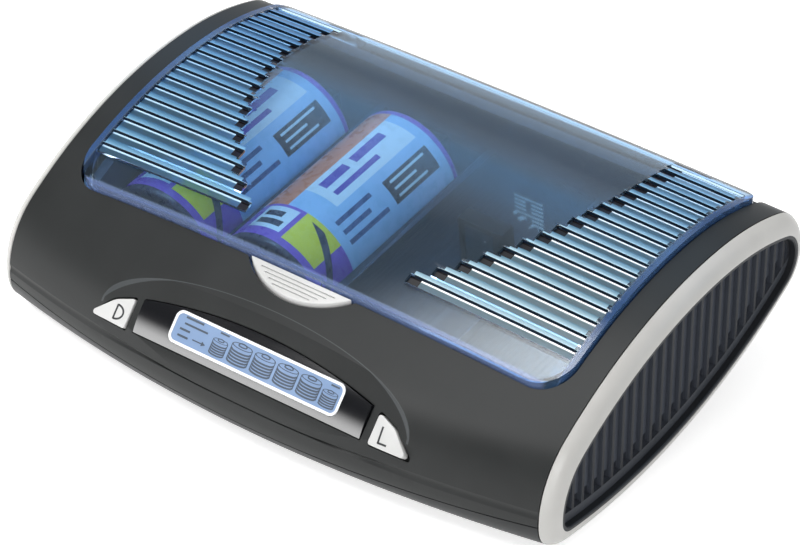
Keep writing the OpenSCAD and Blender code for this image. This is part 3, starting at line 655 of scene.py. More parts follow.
def console_roll():
    """Tool that rolls the console's lower edge over towards the nose."""
    drops = [ROLL_DEPTH - 0.5 * i for i in range(17)]
    curve = [(ROLL_V, 4), (ROLL_V - ROLL_DEPTH, 4)] + [(ROLL_V - d, -d ** 2 / (2 * ROLL_R)) for d in drops]
    return prism("console_roll", curve, -BROW_HALF_W, BROW_HALF_W, CONSOLE @ ACROSS)


def lip_line():
    """Tool for the fine line above the lower lip, which opens to a shallow valley towards both ends."""
    rise = (LIP_Z - nose_c[1]) / NOSE_R
    out = Vector((-math.sqrt(1 - rise * rise), rise))
    along = Vector((rise, -out.x))
    spot = Vector(nose_c) + out * NOSE_R
    rows = []
    for i in range(85):
        x = HALF_W * (i / 42 - 1)
        open_up = min(1, max(0, (abs(x) - 22) / 30))
        half, depth = 0.25 + 1.2 * open_up, 0.5 - 0.2 * open_up
        steps = [k / 5 - 1 for k in range(11)]
        row = [spot + along * half * s - out * depth * math.cos(math.pi * s / 2) ** 2 for s in reversed(steps)]
        row += [spot + out * 0.6 - along * half, spot + out * 0.6 + along * half]
        rows.append([(x, *bowed(p.x, p.y, x)) for p in reversed(row)])
    return swept("lip_line", rows)


def window_outline(inset):
    """Display window: a straight lower edge and an arched upper one."""
    rise = WINDOW_MID_H - WINDOW_END_H
    arch_r = (WINDOW_HALF_W ** 2 + rise ** 2) / (2 * rise)
    half = WINDOW_HALF_W - inset
    top = [half * (1 - 2 * i / 40) for i in range(41)]
    return [(-half, inset), (half, inset)] + [
        (u, WINDOW_MID_H - arch_r + math.sqrt((arch_r - inset) ** 2 - u * u)) for u in top]


def button_outline(spread, side=1):
    """Triangular button with a curved upper edge; side turns it to the left or right end."""
    outline = rounded([(38.8 - spread, -spread, 0.7), (50.6 + spread * 2.8, 0.4 - spread, 0.8),
                       (44.4 + spread * 1.1, 6.1 + spread * 1.2, 6.0), (38.8 - spread, 8.2 + spread * 1.8, 0.7)], 10)
    return outline if side > 0 else [(-u, v) for u, v in reversed(outline)]


def release_outline(spread):
    """Half-moon with its straight edge towards the lid."""
    r = (RELEASE_HALF_W ** 2 + RELEASE_DEPTH ** 2) / (2 * RELEASE_DEPTH)
    centre = RELEASE_Y + r - RELEASE_DEPTH
    reach = math.asin((centre - RELEASE_Y - spread) / (r + spread))
    first, last = math.pi + reach, math.tau - reach
    return [((r + spread) * math.cos(first + (last - first) * i / 48),
             centre + (r + spread) * math.sin(first + (last - first) * i / 48)) for i in range(49)]


upper_shell = loft("upper_shell", side_profile(0))
combine(upper_shell, "INTERSECT", above_parting(0))
combine(upper_shell, "DIFFERENCE", along_width("hollow", WALL, -cavity_x, cavity_x),
        prism("lid_opening", lid_outline(LID_GAP), OPENING_Z, 100),
        block("hinge_shelf", (-LID_HALF_W - LID_GAP, LID_BACK - 5, SHELF_Z), (LID_HALF_W + LID_GAP, 90, 90)))
ear = [(HINGE_Y - EAR_R + 0.2, HINGE_Z - 6), (HINGE_Y + EAR_R - 1.4, HINGE_Z - 6), (HINGE_Y + EAR_R - 0.6, HINGE_Z),
       (HINGE_Y + 2.6, SHELF_Z), (HINGE_Y - 2.6, SHELF_Z), (HINGE_Y - EAR_R + 0.2, HINGE_Z)]
for side in (-1, 1):
    for x in (KNUCKLE_X - NOTCH_GAP - EAR_W, KNUCKLE_X + KNUCKLE_W + NOTCH_GAP):
        combine(upper_shell, "UNION", prism("ear", ear, *span(side, x, x + EAR_W), ACROSS))
    low, high = span(side, KNUCKLE_X - NOTCH_GAP, KNUCKLE_X + KNUCKLE_W + NOTCH_GAP)
    combine(upper_shell, "DIFFERENCE",
            block("notch", (low, HINGE_Y - KNUCKLE_R - 1.2, HINGE_Z - KNUCKLE_R - 0.5), (high, 90, 90)))
for side in (-1, 1):
    for y, h in SCREW_SPOTS:
        spot = Matrix.Translation((side * SCREW_X, y, 0))
        boss = round_bar("boss", BOSS_R, h, 60, spot)
        low, high = span(side, SCREW_X, 100)
        parting_z = PARTING_H + math.tan(PARTING_SLOPE) * (y - NOSE_Y + BOW)
        combine(boss, "UNION", block("boss_rib", (low, y - BOSS_RIB, parting_z + 1.5), (high, y + BOSS_RIB, 60)))
        combine(boss, "INTERSECT", along_width("inside", WALL + BOSS_ROOM, -cavity_x - 0.5, cavity_x + 0.5))
        combine(boss, "DIFFERENCE", round_bar("screw_hole", SCREW_HOLE, h - 1, h + 12, spot))
        combine(upper_shell, "UNION", boss)
combine(upper_shell, "DIFFERENCE", prism("console_face", brow_outline(), 0, BROW_RISE, CONSOLE, BROW_SPREAD),
        console_roll(), lip_line(), panel_pocket(-1), panel_pocket(1),
        prism("window_recess", window_outline(0), -WINDOW_DEPTH, 5, CONSOLE),
        prism("window_tunnel", window_outline(0.5), -16, -0.9, CONSOLE),
        prism("left_well", button_outline(BUTTON_GAP, -1), -BUTTON_WELL, 4, CONSOLE),
        prism("right_well", button_outline(BUTTON_GAP), -BUTTON_WELL, 4, CONSOLE),
        prism("release_well", release_outline(RELEASE_GAP), 24, 90))
smooth(upper_shell, 14)
top_grey = moulded("top_grey", "#1c1e1e", "#222424", 0.46, specular=0.3)
# Painted highlight: a lighter line along the rim of the console's brow, where its edge would catch the light.
wires = Wiring(top_grey.node_tree)
spot = wires.place(CONSOLE.translation * MM, CONSOLE.to_euler())
reach = []
for axis, size, more in (("X", BROW_HALF_W, BROW_SPREAD[0] - 1), ("Y", BROW_H, BROW_SPREAD[1] - 1)):
    grown = wires.maths("ADD", wires.times(spot["Z"], size * more / BROW_RISE), size * MM)
    reach.append(wires.squared(wires.maths("DIVIDE", spot[axis], grown)))
edge = wires.between(wires.maths("ADD", *reach), 0.985, 1.015)
overlay(top_grey, "#3f4244", wires.times(edge, wires.maths("GREATER_THAN", spot["Y"], 4 * MM)))
paint(upper_shell, top_grey)
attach(upper_shell, "base")
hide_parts("upper_housing")

# Display
# A crowned lens of glossy black plastic in the console, with a liquid crystal display in a white frame behind it.
# The display is clipped to its board and shows bars, an arrow and a row of cell signs.
LCD_U, LCD_HALF_W, LCD_LOW, LCD_H, LCD_R, LCD_FACE = 1.1, 26.8, 2.2, 8.6, 2.2, 0.8
LENS_CROWN, LENS_GAP, FRAME_W = 0.9, 0.3, 0.7
MARK_FACE, PRINT_UNDER, PRINT_OVER = LCD_FACE - 0.09, 0.05, 0.04


def lcd_outline(inset):
    r = max(0.5, LCD_R - inset)
    return rounded_box(LCD_U - LCD_HALF_W + inset, LCD_U + LCD_HALF_W - inset, LCD_LOW + inset,
                       LCD_LOW + LCD_H - inset, r, r)


lens = prism("lens", window_outline(LENS_GAP), -WINDOW_DEPTH, 3, CONSOLE)
crown_r = ((WINDOW_MID_H / 2) ** 2 + LENS_CROWN ** 2) / (2 * LENS_CROWN)
lying = Matrix.Translation((0, WINDOW_MID_H / 2, LENS_CROWN - crown_r)) @ Matrix.Rotation(math.pi / 2, 4, "Y")
combine(lens, "INTERSECT", round_bar("crown", crown_r, -50, 50, CONSOLE @ lying, 360))
combine(lens, "DIFFERENCE", prism("lcd_gap", lcd_outline(-0.1), -5, 5, CONSOLE))
smooth(lens, 25)
lens_black, wires, skin = new_material("lens_black")
for label, value in (("Base Color", tone("#121316")), ("Specular IOR Level", 0.6), ("Coat Weight", 0.5),
                     ("Coat Roughness", 0.05), ("Roughness", wires.spread(wires.noise(90, 3), 0.08, 0.16))):
    wires.feed(skin[label], value)
paint(lens, lens_black)
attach(lens, "base")
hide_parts("display_window")

lcd_rim = prism("lcd_rim", lcd_outline(0), -1.75, LCD_FACE, CONSOLE)
combine(lcd_rim, "DIFFERENCE", prism("rim_gap", lcd_outline(FRAME_W), 0, 3, CONSOLE))
smooth(lcd_rim)
frame_white = moulded("frame_white", "#eeeff1", "#f6f7f8", 0.4, grain=2000, depth=0.005)
paint(lcd_rim, frame_white)
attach(lcd_rim, "base")
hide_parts("lcd_module")

lcd_field = prism("lcd_field", lcd_outline(FRAME_W + 0.02), 0, LCD_FACE - 0.12, CONSOLE)
smooth(lcd_field)
field_blue = moulded("field_blue", "#7890b2", "#8299bb", 0.3, grain=3000, depth=0.002)
paint(lcd_field, field_blue)
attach(lcd_field, "base")


def stroke(points, width, face, place=Matrix()):
    """Line of a given width through points, as a thin print on a face."""
    left, right = [], []
    for i, (u, v) in enumerate(points):
        a = Vector(points[max(0, i - 1)])
        b = Vector(points[min(len(points) - 1, i + 1)])
        side = (b - a).normalized() * (width / 2)
        left.append((u - side.y, v + side.x))
        right.append((u + side.y, v - side.x))
    return prism("stroke", right + left[::-1], face - PRINT_UNDER, face + PRINT_OVER, place)


def bow_line(width, level, sag):
    return [(width * (i / 12 - 0.5), level - sag * (1 - (i / 6 - 1) ** 2) ** 0.5) for i in range(13)]


def cell_sign(width, height):
    """Sign of a cell: a can with bowed bands, a round top and a cap."""
    sag, rim = 0.11 * width, height - 0.2 * width
    cap_w, cap_level = 0.42 * width, rim + 0.03 * width
    lines = [stroke(bow_line(width, rim, s), 0.03 * width, MARK_FACE) for s in (sag, -sag)]
    lines += [stroke(bow_line(cap_w, cap_level, s * width), 0.05 * width, MARK_FACE) for s in (0.05, -0.09)]
    lines += [stroke([(u, sag), (u, rim)], 0.03 * width, MARK_FACE) for u in (-width / 2, width / 2)]
    pitch = (rim - sag) / 5.4
    lines += [stroke(bow_line(width, sag + k * pitch, sag), 0.62 * pitch, MARK_FACE) for k in range(5)]
    return lines


wires, given = new_tree("row_of_copies", {"Copied": "Object", "Count": "Int", "First": "Vector", "Pitch": "Vector",
                                          "Finish": "Material"})
line = wires.add("GeometryNodeMeshLine", {
    "Count": given["Count"], "Start Location": given["First"], "Offset": given["Pitch"]}, mode="OFFSET")
info = wires.add("GeometryNodeObjectInfo", {"Object": given["Copied"]})
copies = wires.add("GeometryNodeInstanceOnPoints", {
    "Points": line.outputs["Mesh"], "Instance": info.outputs["Geometry"]})
row_tree = close_tree(wires, copies.outputs["Instances"], given["Finish"])


def row_of(name, piece, count, first, pitch, material):
    """Row of equal copies of a piece, which is used up."""
    row = grow(name, row_tree, {"Copied": piece, "Count": count, "First": [v * MM for v in first],
                                "Pitch": [v * MM for v in pitch], "Finish": material})
    discard(piece)
    return row


ink = moulded("display_ink", "#3f4a58", "#475260", 0.5, grain=2000, depth=0.002)
signs = [row_of("signs", join("sign", cell_sign(width, height)), count, (u, v, 0), (pitch, 0, 0), ink)
         for width, height, u, v, count, pitch in ((6.3, 6.0, -4.1, 3.75, 4, 7.3), (4.6, 4.7, -10.6, 3.7, 2, 34.7))]
words = [stroke([(u0, v), (u1, v)], width, MARK_FACE) for u0, u1, v, width in (
    (-22.6, -17.0, 9.5, 0.55), (-22.4, -15.0, 7.9, 0.5), (-23.2, -20.0, 6.3, 0.55), (-23.2, -19.9, 4.6, 0.55),
    (-18.5, -15.4, 4.9, 0.3), (-11.6, -8.8, 9.5, 0.45), (23.4, 26.0, 9.4, 0.45))]
words.append(prism("arrow_head", [(-15.6, 4.3), (-14.4, 4.9), (-15.6, 5.5)],
                   MARK_FACE - PRINT_UNDER, MARK_FACE + PRINT_OVER))
display_marks = join("display_marks", signs + words)
to_console = CONSOLE.copy()
to_console.translation *= MM
display_marks.data.transform(to_console)
smooth(display_marks)
paint(display_marks, ink)
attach(display_marks, "base")

# Console buttons
# Two triangular caps of satin silver plastic at the ends of the console, each with a fine letter for its function.
# They are pressed into the console against switches behind them.
BUTTON_LOW, BUTTON_FACE, STEM_U, STEM_V, STEM_R, LETTER_W = -1.9, 0.5, 42.2, 3.4, 1.3, 0.52
button_silver = moulded("button_silver", "#bdbdbc", "#c5c5c4", 0.36, grain=2500, depth=0.004)
print_black = moulded("print_black", "#232427", "#2a2b2e", 0.5, grain=2500, depth=0.002)


def soften(piece, width, degrees):
    """Small rounding along the edges that are sharper than an angle."""
    edge = piece.modifiers.new("edge", "BEVEL")
    edge.width = width * MM
    edge.segments = 3
    edge.limit_method = "ANGLE"
    edge.angle_limit = math.radians(degrees)
    freeze(piece)


bowl = [math.pi * i / 16 for i in range(17)]
letter_d = [[(-43.0, 1.2), (-43.0, 5.2)], [(-43.0 + 2.4 * math.sin(a), 3.2 + 1.85 * math.cos(a)) for a in bowl]]
letter_l = [[(41.2, 5.5), (41.55, 1.2)], [(41.4, 1.35), (44.0, 1.5)]]
for body, side, letter in (("left_button", -1, letter_d), ("right_button", 1, letter_l)):
    cap = prism("%s_cap" % body, button_outline(0, side), BUTTON_LOW, BUTTON_FACE, CONSOLE)
    soften(cap, 0.22, 60)
    spot = CONSOLE @ Matrix.Translation((side * STEM_U, STEM_V, 0))
    combine(cap, "UNION", round_bar("stem", STEM_R, -4.0, -1.6, spot, 32))
    smooth(cap, 40)
    paint(cap, button_silver)
    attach(cap, body)
    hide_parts(body)
    letter_print = join("%s_letter" % body, [stroke(points, LETTER_W, BUTTON_FACE, CONSOLE) for points in letter])
    smooth(letter_print)
    paint(letter_print, print_black)
    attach(letter_print, body)

# Lid release
# A half-moon push button of the same silver plastic in front of the lid, with fine grip lines.
# It is moulded on a spring tongue, so it goes straight down and comes back by itself.
RELEASE_PLANE = Matrix.Translation((0, RELEASE_Y, 38.1)) @ Matrix.Rotation(math.radians(24.5), 4, "X")
GRIPS, GRIP_PITCH, GRIP_W, GRIP_LOW = 4, 1.1, 0.36, 0.25
release = prism("release", release_outline(0), 24, 64)
combine(release, "INTERSECT", block("slab", (-40, -40, -1.9), (40, 40, 0.6), RELEASE_PLANE))
soften(release, 0.25, 50)
for i in range(GRIPS):
    half, v = 11.6 - 1.9 * i, -GRIP_PITCH - GRIP_PITCH * i
    combine(release, "DIFFERENCE", block("grip", (-half, v - GRIP_W, GRIP_LOW), (half, v, 2), RELEASE_PLANE))
combine(release, "UNION", block("catch", (-7, RELEASE_Y - 4, 32.1), (7, RELEASE_Y - 1.2, 35.5)))
smooth(release, 40)
paint(release, button_silver)
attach(release, "lid_release")
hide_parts("lid_release")

# Lid and hinge pins
# A crowned cover of clear blue plastic with two fans of grooves, a rim, a latch tongue and two hinge arms.
# It is moulded in one piece and swings on two steel pins at the back.
LID_PROUD, LID_SKIN, LID_RIM, RIM_INSET, LID_LOW = 1.3, 2.2, 1.8, 2.3, 30.0
GROOVES, GROOVE_W, GROOVE_DEPTH, GROOVE_END, FILLET_R = 18, 2.6, 1.0, 75.2, 0.2
GROOVE_FIRST, GROOVE_LAST = -24.0, 48.4
CLEAR_R, CLEAR_X, CLEAR_Y = 77.0, 54.0, 36.0
RIB_LINE, END_SHADE_LEN, RIB_SETBACK, PLASTIC_IOR, BORE_R = 0.38, 3.4, 1.2, 1.46, 1.36
TINT_SIDE_X, TINT_FRONT_Y, TINT_BLUR = 75.4, -32.6, 0.3
TOP_ARCS = [(tail_c, TAIL_R, math.radians(35), tail_high)] + SIDE_ARCS[2:4]
half = GROOVE_W / 2
groove_pitch = (GROOVE_LAST - GROOVE_FIRST) / (GROOVES - 1)
rib_edge, bright = half / groove_pitch, (half - RIB_LINE) / groove_pitch


def lid_profile(inset, step=1.6):
    """Top of the side profile, closed well below the lid."""
    top = arc_run(TOP_ARCS, inset, step)
    return top + [(top[-1][0], LID_LOW), (top[0][0], LID_LOW)]


wires, given = new_tree("groove_fan", {
    "Tool": "Object", "Surface": "Object", "Count": "Int", "First": "Float", "Pitch": "Float", "End": "Float",
    "Clear Radius": "Float", "Clear X": "Float", "Clear Y": "Float", "Finish": "Material"})
index = wires.add("GeometryNodeInputIndex").outputs[0]
across = wires.maths("ADD", given["First"], wires.times(index, given["Pitch"]))
off = wires.maths("SUBTRACT", across, given["Clear Y"])
chord = wires.maths("POWER", wires.maths("SUBTRACT", wires.squared(given["Clear Radius"]), wires.squared(off)), 0.5)
inner = wires.maths("ADD", wires.maths("SUBTRACT", given["Clear X"], given["Clear Radius"]), chord)
spot = wires.add("ShaderNodeCombineXYZ", {"X": inner, "Y": across})
size = wires.add("ShaderNodeCombineXYZ", {"X": wires.maths("SUBTRACT", given["End"], inner), "Y": 1.0, "Z": 1.0})
line = wires.add("GeometryNodeMeshLine", {"Count": given["Count"], "Offset": (0, 0, 0)}, mode="OFFSET")
keep = wires.add("GeometryNodeCaptureAttribute", {"Geometry": line.outputs["Mesh"]})
keep.capture_items.new("VECTOR", "Size")
wires.feed(keep.inputs["Size"], size.outputs[0])
move = wires.add("GeometryNodeSetPosition", {"Geometry": keep.outputs["Geometry"], "Position": spot.outputs[0]})
info = wires.add("GeometryNodeObjectInfo", {"Object": given["Tool"]})
copies = wires.add("GeometryNodeInstanceOnPoints", {
    "Points": move.outputs["Geometry"], "Instance": info.outputs["Geometry"], "Scale": keep.outputs["Size"]})
real = wires.add("GeometryNodeRealizeInstances", {"Geometry": copies.outputs["Instances"]})
here = wires.add("ShaderNodeSeparateXYZ", {0: wires.add("GeometryNodeInputPosition").outputs[0]}).outputs
above = wires.add("ShaderNodeCombineXYZ", {"X": here["X"], "Y": here["Y"], "Z": 0.2})
surface = wires.add("GeometryNodeObjectInfo", {"Object": given["Surface"]})
drop = wires.add("GeometryNodeRaycast", {
    "Target Geometry": surface.outputs["Geometry"], "Source Position": above.outputs[0]})
landed = wires.add("ShaderNodeSeparateXYZ", {0: drop.outputs["Hit Position"]}).outputs
follow = wires.add("ShaderNodeCombineXYZ", {
    "X": here["X"], "Y": here["Y"], "Z": wires.maths("ADD", landed["Z"], here["Z"])})
settle = wires.add("GeometryNodeSetPosition", {"Geometry": real.outputs["Geometry"], "Position": follow.outputs[0]})
groove_tree = close_tree(wires, settle.outputs["Geometry"], given["Finish"])

lid_blue, wires, skin = new_material("lid_blue")
spot = wires.place()
past_side = wires.maths("SUBTRACT", wires.maths("ABSOLUTE", spot["X"]), TINT_SIDE_X * MM)
past_front = wires.maths("SUBTRACT", TINT_FRONT_Y * MM, spot["Y"])
colour, through = tone("#bedaf0"), 0.985
for past, code, clear in ((past_side, "#5a80b8", 0.7), (past_front, "#9fb8f0", 0.75)):
    share = wires.spread(past, 0, 1, -TINT_BLUR * MM, TINT_BLUR * MM)
    colour = wires.mix(share, colour, tone(code))
    through = wires.add("ShaderNodeMix", {0: share, 2: through, 3: clear}).outputs[0]
for label, value in (("Base Color", colour), ("Transmission Weight", through), ("IOR", PLASTIC_IOR),
                     ("Roughness", wires.spread(wires.noise(70, 3), 0.03, 0.07))):
    wires.feed(skin[label], value)

rib_frost_painted_light, wires, skin = new_material("rib_frost_painted_light")
spot = wires.place()
step = wires.maths("DIVIDE", wires.maths("SUBTRACT", spot["Y"], GROOVE_FIRST * MM), groove_pitch * MM)
share = wires.maths("FRACT", step)


def rib_bands(wires, share, floor, line, top, foot):
    """Bands across a groove, with a painted highlight line before the next rib, and across that rib."""
    return wires.bands(share, [(0, floor), (bright - 0.01, floor), (bright, line), (rib_edge, line),
                               (rib_edge + 0.01, top), (0.98 - rib_edge, foot), (1 - rib_edge, floor)])


# The white band before each rib is a painted highlight line; the pale bands across the ribs are their frosting.
colour = rib_bands(wires, share, "#7fabbd", "#ffffff", "#c2e6f4", "#5f9cbd")
# Painted light: the ribs are painted darker towards the left and bluer towards the back, where the key lamp's glare
# falls off.
for axis, first, last, code_first, code_last in (("X", -20, 20, "#b4d6f0", "#ffffff"),
                                                 ("Y", -10, 40, "#ffffff", "#b8deff")):
    shade = wires.bands(wires.spread(spot[axis], 0, 1, first * MM, last * MM), [(0, code_first), (1, code_last)])
    colour = wires.mix(1.0, colour, shade, "MULTIPLY")
# Painted shade: a dark patch, with less gloss, on each groove's floor at its inner end.
own_y = wires.maths("ADD", wires.times(wires.maths("ROUND", step), groove_pitch), GROOVE_FIRST - CLEAR_Y)
own_end = wires.maths("POWER", wires.maths("SUBTRACT", CLEAR_R ** 2, wires.squared(own_y)), 0.5)
past_end = wires.maths("SUBTRACT", wires.maths("ABSOLUTE", spot["X"]),
                       wires.times(wires.maths("ADD", own_end, CLEAR_X - CLEAR_R), MM))
in_groove = wires.maths("SUBTRACT", 1.0, wires.between(share, rib_edge, 1 - rib_edge))
painted_end_shade = wires.times(in_groove, wires.maths("LESS_THAN", past_end, END_SHADE_LEN * MM))
for label, value in (("Base Color", colour), ("IOR", PLASTIC_IOR),
                     ("Transmission Weight", rib_bands(wires, share, "#e4e4e4", "#3a3a3a", "#a0a0a0", "#d0d0d0")),
                     ("Specular IOR Level", wires.maths("SUBTRACT", 0.5, wires.times(painted_end_shade, 0.45))),
                     ("Roughness", wires.spread(wires.noise(200, 3), 0.28, 0.42))):
    wires.feed(skin[label], value)
overlay(rib_frost_painted_light, "#08050c", painted_end_shade)
step_shade = moulded("step_shade", "#0a1622", "#0f1d2b", 0.2, grain=2500, depth=0.002, specular=0.3)

lid = loft("lid_cover", lid_profile(-LID_PROUD, 1.0))
turns = [math.pi / 2 * i / 6 for i in range(7)]
fillet = [(half - FILLET_R + FILLET_R * math.sin(a), FILLET_R - GROOVE_DEPTH - FILLET_R * math.cos(a)) for a in turns]
shoulder = [(half, -0.14), (half + 0.05, -0.04), (half + 0.14, 0.01), (half + 0.14, 1.0)]
cut = [(-half, -GROOVE_DEPTH)] + fillet + shoulder + [(-y, z) for y, z in reversed(shoulder)]
tool = swept("groove_tool", [[(1000 * i / 40, y, z) for y, z in cut] for i in range(41)])
fan_values = {"Tool": tool, "Surface": lid, "Count": GROOVES, "First": GROOVE_FIRST * MM, "Pitch": groove_pitch * MM,
              "End": GROOVE_END * MM, "Clear Radius": CLEAR_R * MM, "Clear X": CLEAR_X * MM, "Clear Y": CLEAR_Y * MM,
              "Finish": lid_blue}
right_fan = grow("right_fan", groove_tree, fan_values)
left_fan = grow("left_fan", groove_tree, fan_values)


def mirror(piece):
    """Turns a piece of the right end into one of the left end."""
    piece.data.transform(Matrix.Scale(-1, 4, (1, 0, 0)))
    piece.data.flip_normals()


mirror(left_fan)
discard(tool)
combine(lid, "DIFFERENCE", right_fan, left_fan)
combine(lid, "INTERSECT", prism("lid_edge", lid_outline(0), 0, 100))
under = loft("lid_under", lid_profile(LID_SKIN - LID_PROUD))
combine(under, "INTERSECT", prism("lid_inside", lid_outline(-LID_RIM), 0, 100))
combine(lid, "DIFFERENCE", under, along_width("rim_under", RIM_INSET, -100, 100))
arm = [(HINGE_Y - KNUCKLE_R + 0.2, HINGE_Z), (HINGE_Y + 2.0, HINGE_Z), (HINGE_Y + 1.4, HINGE_Z + 2.4),
       (LID_BACK - 0.2, 46.2), (LID_BACK - 1.4, 46.2), (LID_BACK - 1.6, 44.9)]
hinge_line = Matrix.Translation((0, HINGE_Y, HINGE_Z)) @ ACROSS
for side in (-1, 1):
    low, high = span(side, KNUCKLE_X, KNUCKLE_X + KNUCKLE_W)
    combine(lid, "UNION", prism("arm", arm, low, high, ACROSS),
            round_bar("knuckle", KNUCKLE_R, low, high, hinge_line, 64))
    combine(lid, "DIFFERENCE", round_bar("bore", BORE_R, low - 1, high + 1, hinge_line, 64))
tongue = [(LID_FRONT + 0.9, 38.4), (LID_FRONT + 0.9, 33.4), (LID_FRONT + 0.5, 32.8), (LID_FRONT + 0.9, 31.4),
          (LID_FRONT + 2.4, 31.4), (LID_FRONT + 2.4, 38.4)]
combine(lid, "UNION", prism("tongue", tongue, -5, 5, ACROSS))
smooth(lid, 30)
paint(lid, lid_blue, rib_frost_painted_light, step_shade)
for face in lid.data.polygons:
    x, y, z = face.center / MM
    step = (y - GROOVE_FIRST) / groove_pitch
    own = round(step)
    own_y = GROOVE_FIRST + own * groove_pitch - CLEAR_Y
    inner = CLEAR_X - CLEAR_R + math.sqrt(CLEAR_R ** 2 - own_y ** 2)
    if abs(step - own) > rib_edge:
        inner += RIB_SETBACK
    if -rib_edge < step < GROOVES - 1 + rib_edge and inner < abs(x) < GROOVE_END and z > 32:
        if face.normal.z > 0.5:
            face.material_index = 1
        elif face.normal.y < -0.6:
            face.material_index = 2
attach(lid, "lid")
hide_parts("lid")
pin_steel = plated("screw_steel", "#8e8f90", "#b4b5b6", 0.35)
dress("left_hinge_pin", pin_steel)
dress("right_hinge_pin", pin_steel)

# End rings
# Two frames of satin silver plastic that close the ends of the shell, with a sloping, slightly rounded face.
# They are clipped on and hold the fluted panels.
RING_W, RING_ROUND, RING_BULGE, RING_LIP, EDGE_STRIPS = 3.9, 4.6, 0.8, 0.35, 3
ring_silver = moulded("ring_silver", "#b3b2af", "#bcbbb8", 0.34, grain=2500, depth=0.004)
ring_edge = moulded("ring_edge", "#202225", "#27292c", 0.5, specular=0.3)


def ring_section():
    """Cut through a ring: how far in from the outline, and how far out along the width."""
    face = []
    for i in range(13):
        t = i / 12
        rise = 4 * RING_BULGE * t * (1 - t)
        face.append((RING_ROUND * t - rise * 0.7, HALF_W + 0.4 + (RING_W - 0.4) * t + rise * 0.7))
    return [(RING_ROUND + 1.4, HALF_W), (0.45, HALF_W)] + face + [
        (RING_ROUND + RING_LIP, HALF_W + RING_W), (RING_ROUND + 1.1, HALF_W + RING_W),
        (RING_ROUND + 1.4, HALF_W + RING_W - 0.3)]


for name, side in (("left", -1), ("right", 1)):
    section = ring_section()
    rings = [side_profile(inset, 1.2) for inset, x in section]
    m, n = len(section), len(rings[0])
    corners = [(side * section[i][1], y, z) for i in range(m) for y, z in rings[i]]
    faces = []
    for i in range(m):
        for j in range(n):
            a, k = (i + 1) % m, (j + 1) % n
            quad = (i * n + j, i * n + k, a * n + k, a * n + j)
            faces.append(quad if side > 0 else quad[::-1])
    ring = solid("%s_ring" % name, corners, faces)
    paint(ring, ring_silver, ring_edge)
    for face in ring.data.polygons[(m - EDGE_STRIPS) * n:]:
        face.material_index = 1
    smooth(ring, 35)
    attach(ring, "base")
    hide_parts("%s_trim_ring" % name)

# Fluted end panels
# Dark plates inside the rings with upright flutes that end above a plain ledge, where each has a vent hole.
# Each is moulded in one piece, sits in a pocket of the shell and is held by its ring.
PANEL_FACE, FLUTE_PITCH, FLUTE_W, FLUTE_DEPTH, FLUTES = HALF_W + RING_W - 1.8, 4.1, 3.0, 1.2, 27
LEDGE_H, LEDGE_INSET, VENT_W, VENT_H = 2.4, PANEL_INSET + 0.4, 2.8, 2.6
UPRIGHT = Matrix(((0, 1, 0, 0), (-1, 0, 0, 0), (0, 0, 1, 0), (0, 0, 0, 1)))
panel_dark = moulded("panel_dark", "#36393e", "#3c3f45", 0.5, grain=1400, specular=0.15)
# Painted light and shade: the rib tops are painted darker, so that the narrow bevels beside them read as light lines,
# and the flute floors and walls are painted lighter against the shade in the flutes.
wires = Wiring(panel_dark.node_tree)
spot = wires.place()
out = wires.maths("ABSOLUTE", spot["X"])
fall = [wires.squared(wires.maths("SUBTRACT", spot[axis], centre * MM))
        for axis, centre in (("Y", belly_c[0]), ("Z", belly_c[1] + LEDGE_H))]
over_ledge = wires.maths("LESS_THAN", wires.maths("ADD", *fall), ((BELLY_R - LEDGE_INSET) * MM) ** 2)
rib_top_painted_shade = wires.times(over_ledge, wires.maths("GREATER_THAN", out, (PANEL_FACE - 0.03) * MM))
overlay(panel_dark, "#212327", rib_top_painted_shade)
overlay(panel_dark, "#3e424a", wires.maths("LESS_THAN", out, (PANEL_FACE - 0.35) * MM))


def raised_ledge(name, lift, low, high):
    """All that lies above the ledge, or a lift above it."""
    return prism(name, [(y, z + LEDGE_H + lift) for y, z in side_profile(LEDGE_INSET)], low, high, ACROSS)


def flute_tools(cut, lift):
    """Row of upright cutters of one section, kept inside the panel's edge and above its ledge."""
    row = row_of("flutes", prism("flute", cut, 0, 70, UPRIGHT), FLUTES, (0, -(FLUTES // 2) * FLUTE_PITCH, 0),
                 (0, FLUTE_PITCH, 0), panel_dark)
    combine(row, "INTERSECT", along_width("inside", PANEL_INSET + 0.8, 60, 100),
            raised_ledge("over_ledge", lift, 59, 101))
    return row


half = FLUTE_W / 2
flank = [(half, PANEL_FACE - FLUTE_DEPTH), (half, PANEL_FACE - 0.3), (half + 0.06, PANEL_FACE - 0.12),
         (half + 0.2, PANEL_FACE), (half + 0.2, 99)]
flute_cut = flank + [(-y, x) for y, x in reversed(flank)]
vent_cut = [(-VENT_W / 2, 61), (VENT_W / 2, 61), (VENT_W / 2, 98), (-VENT_W / 2, 98)]
for name, side in (("left", -1), ("right", 1)):
    panel = along_width("%s_panel" % name, PANEL_INSET, PANEL_SEAT, PANEL_FACE)
    combine(panel, "DIFFERENCE", flute_tools(flute_cut, 0))
    vents = flute_tools(vent_cut, 0.1)
    combine(vents, "DIFFERENCE", raised_ledge("over_vents", VENT_H, 58, 102))
    combine(panel, "DIFFERENCE", vents)
    if side < 0:
        mirror(panel)
    smooth(panel, 25)
    paint(panel, panel_dark)
    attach(panel, "base")
    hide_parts("%s_vent_panel" % name)

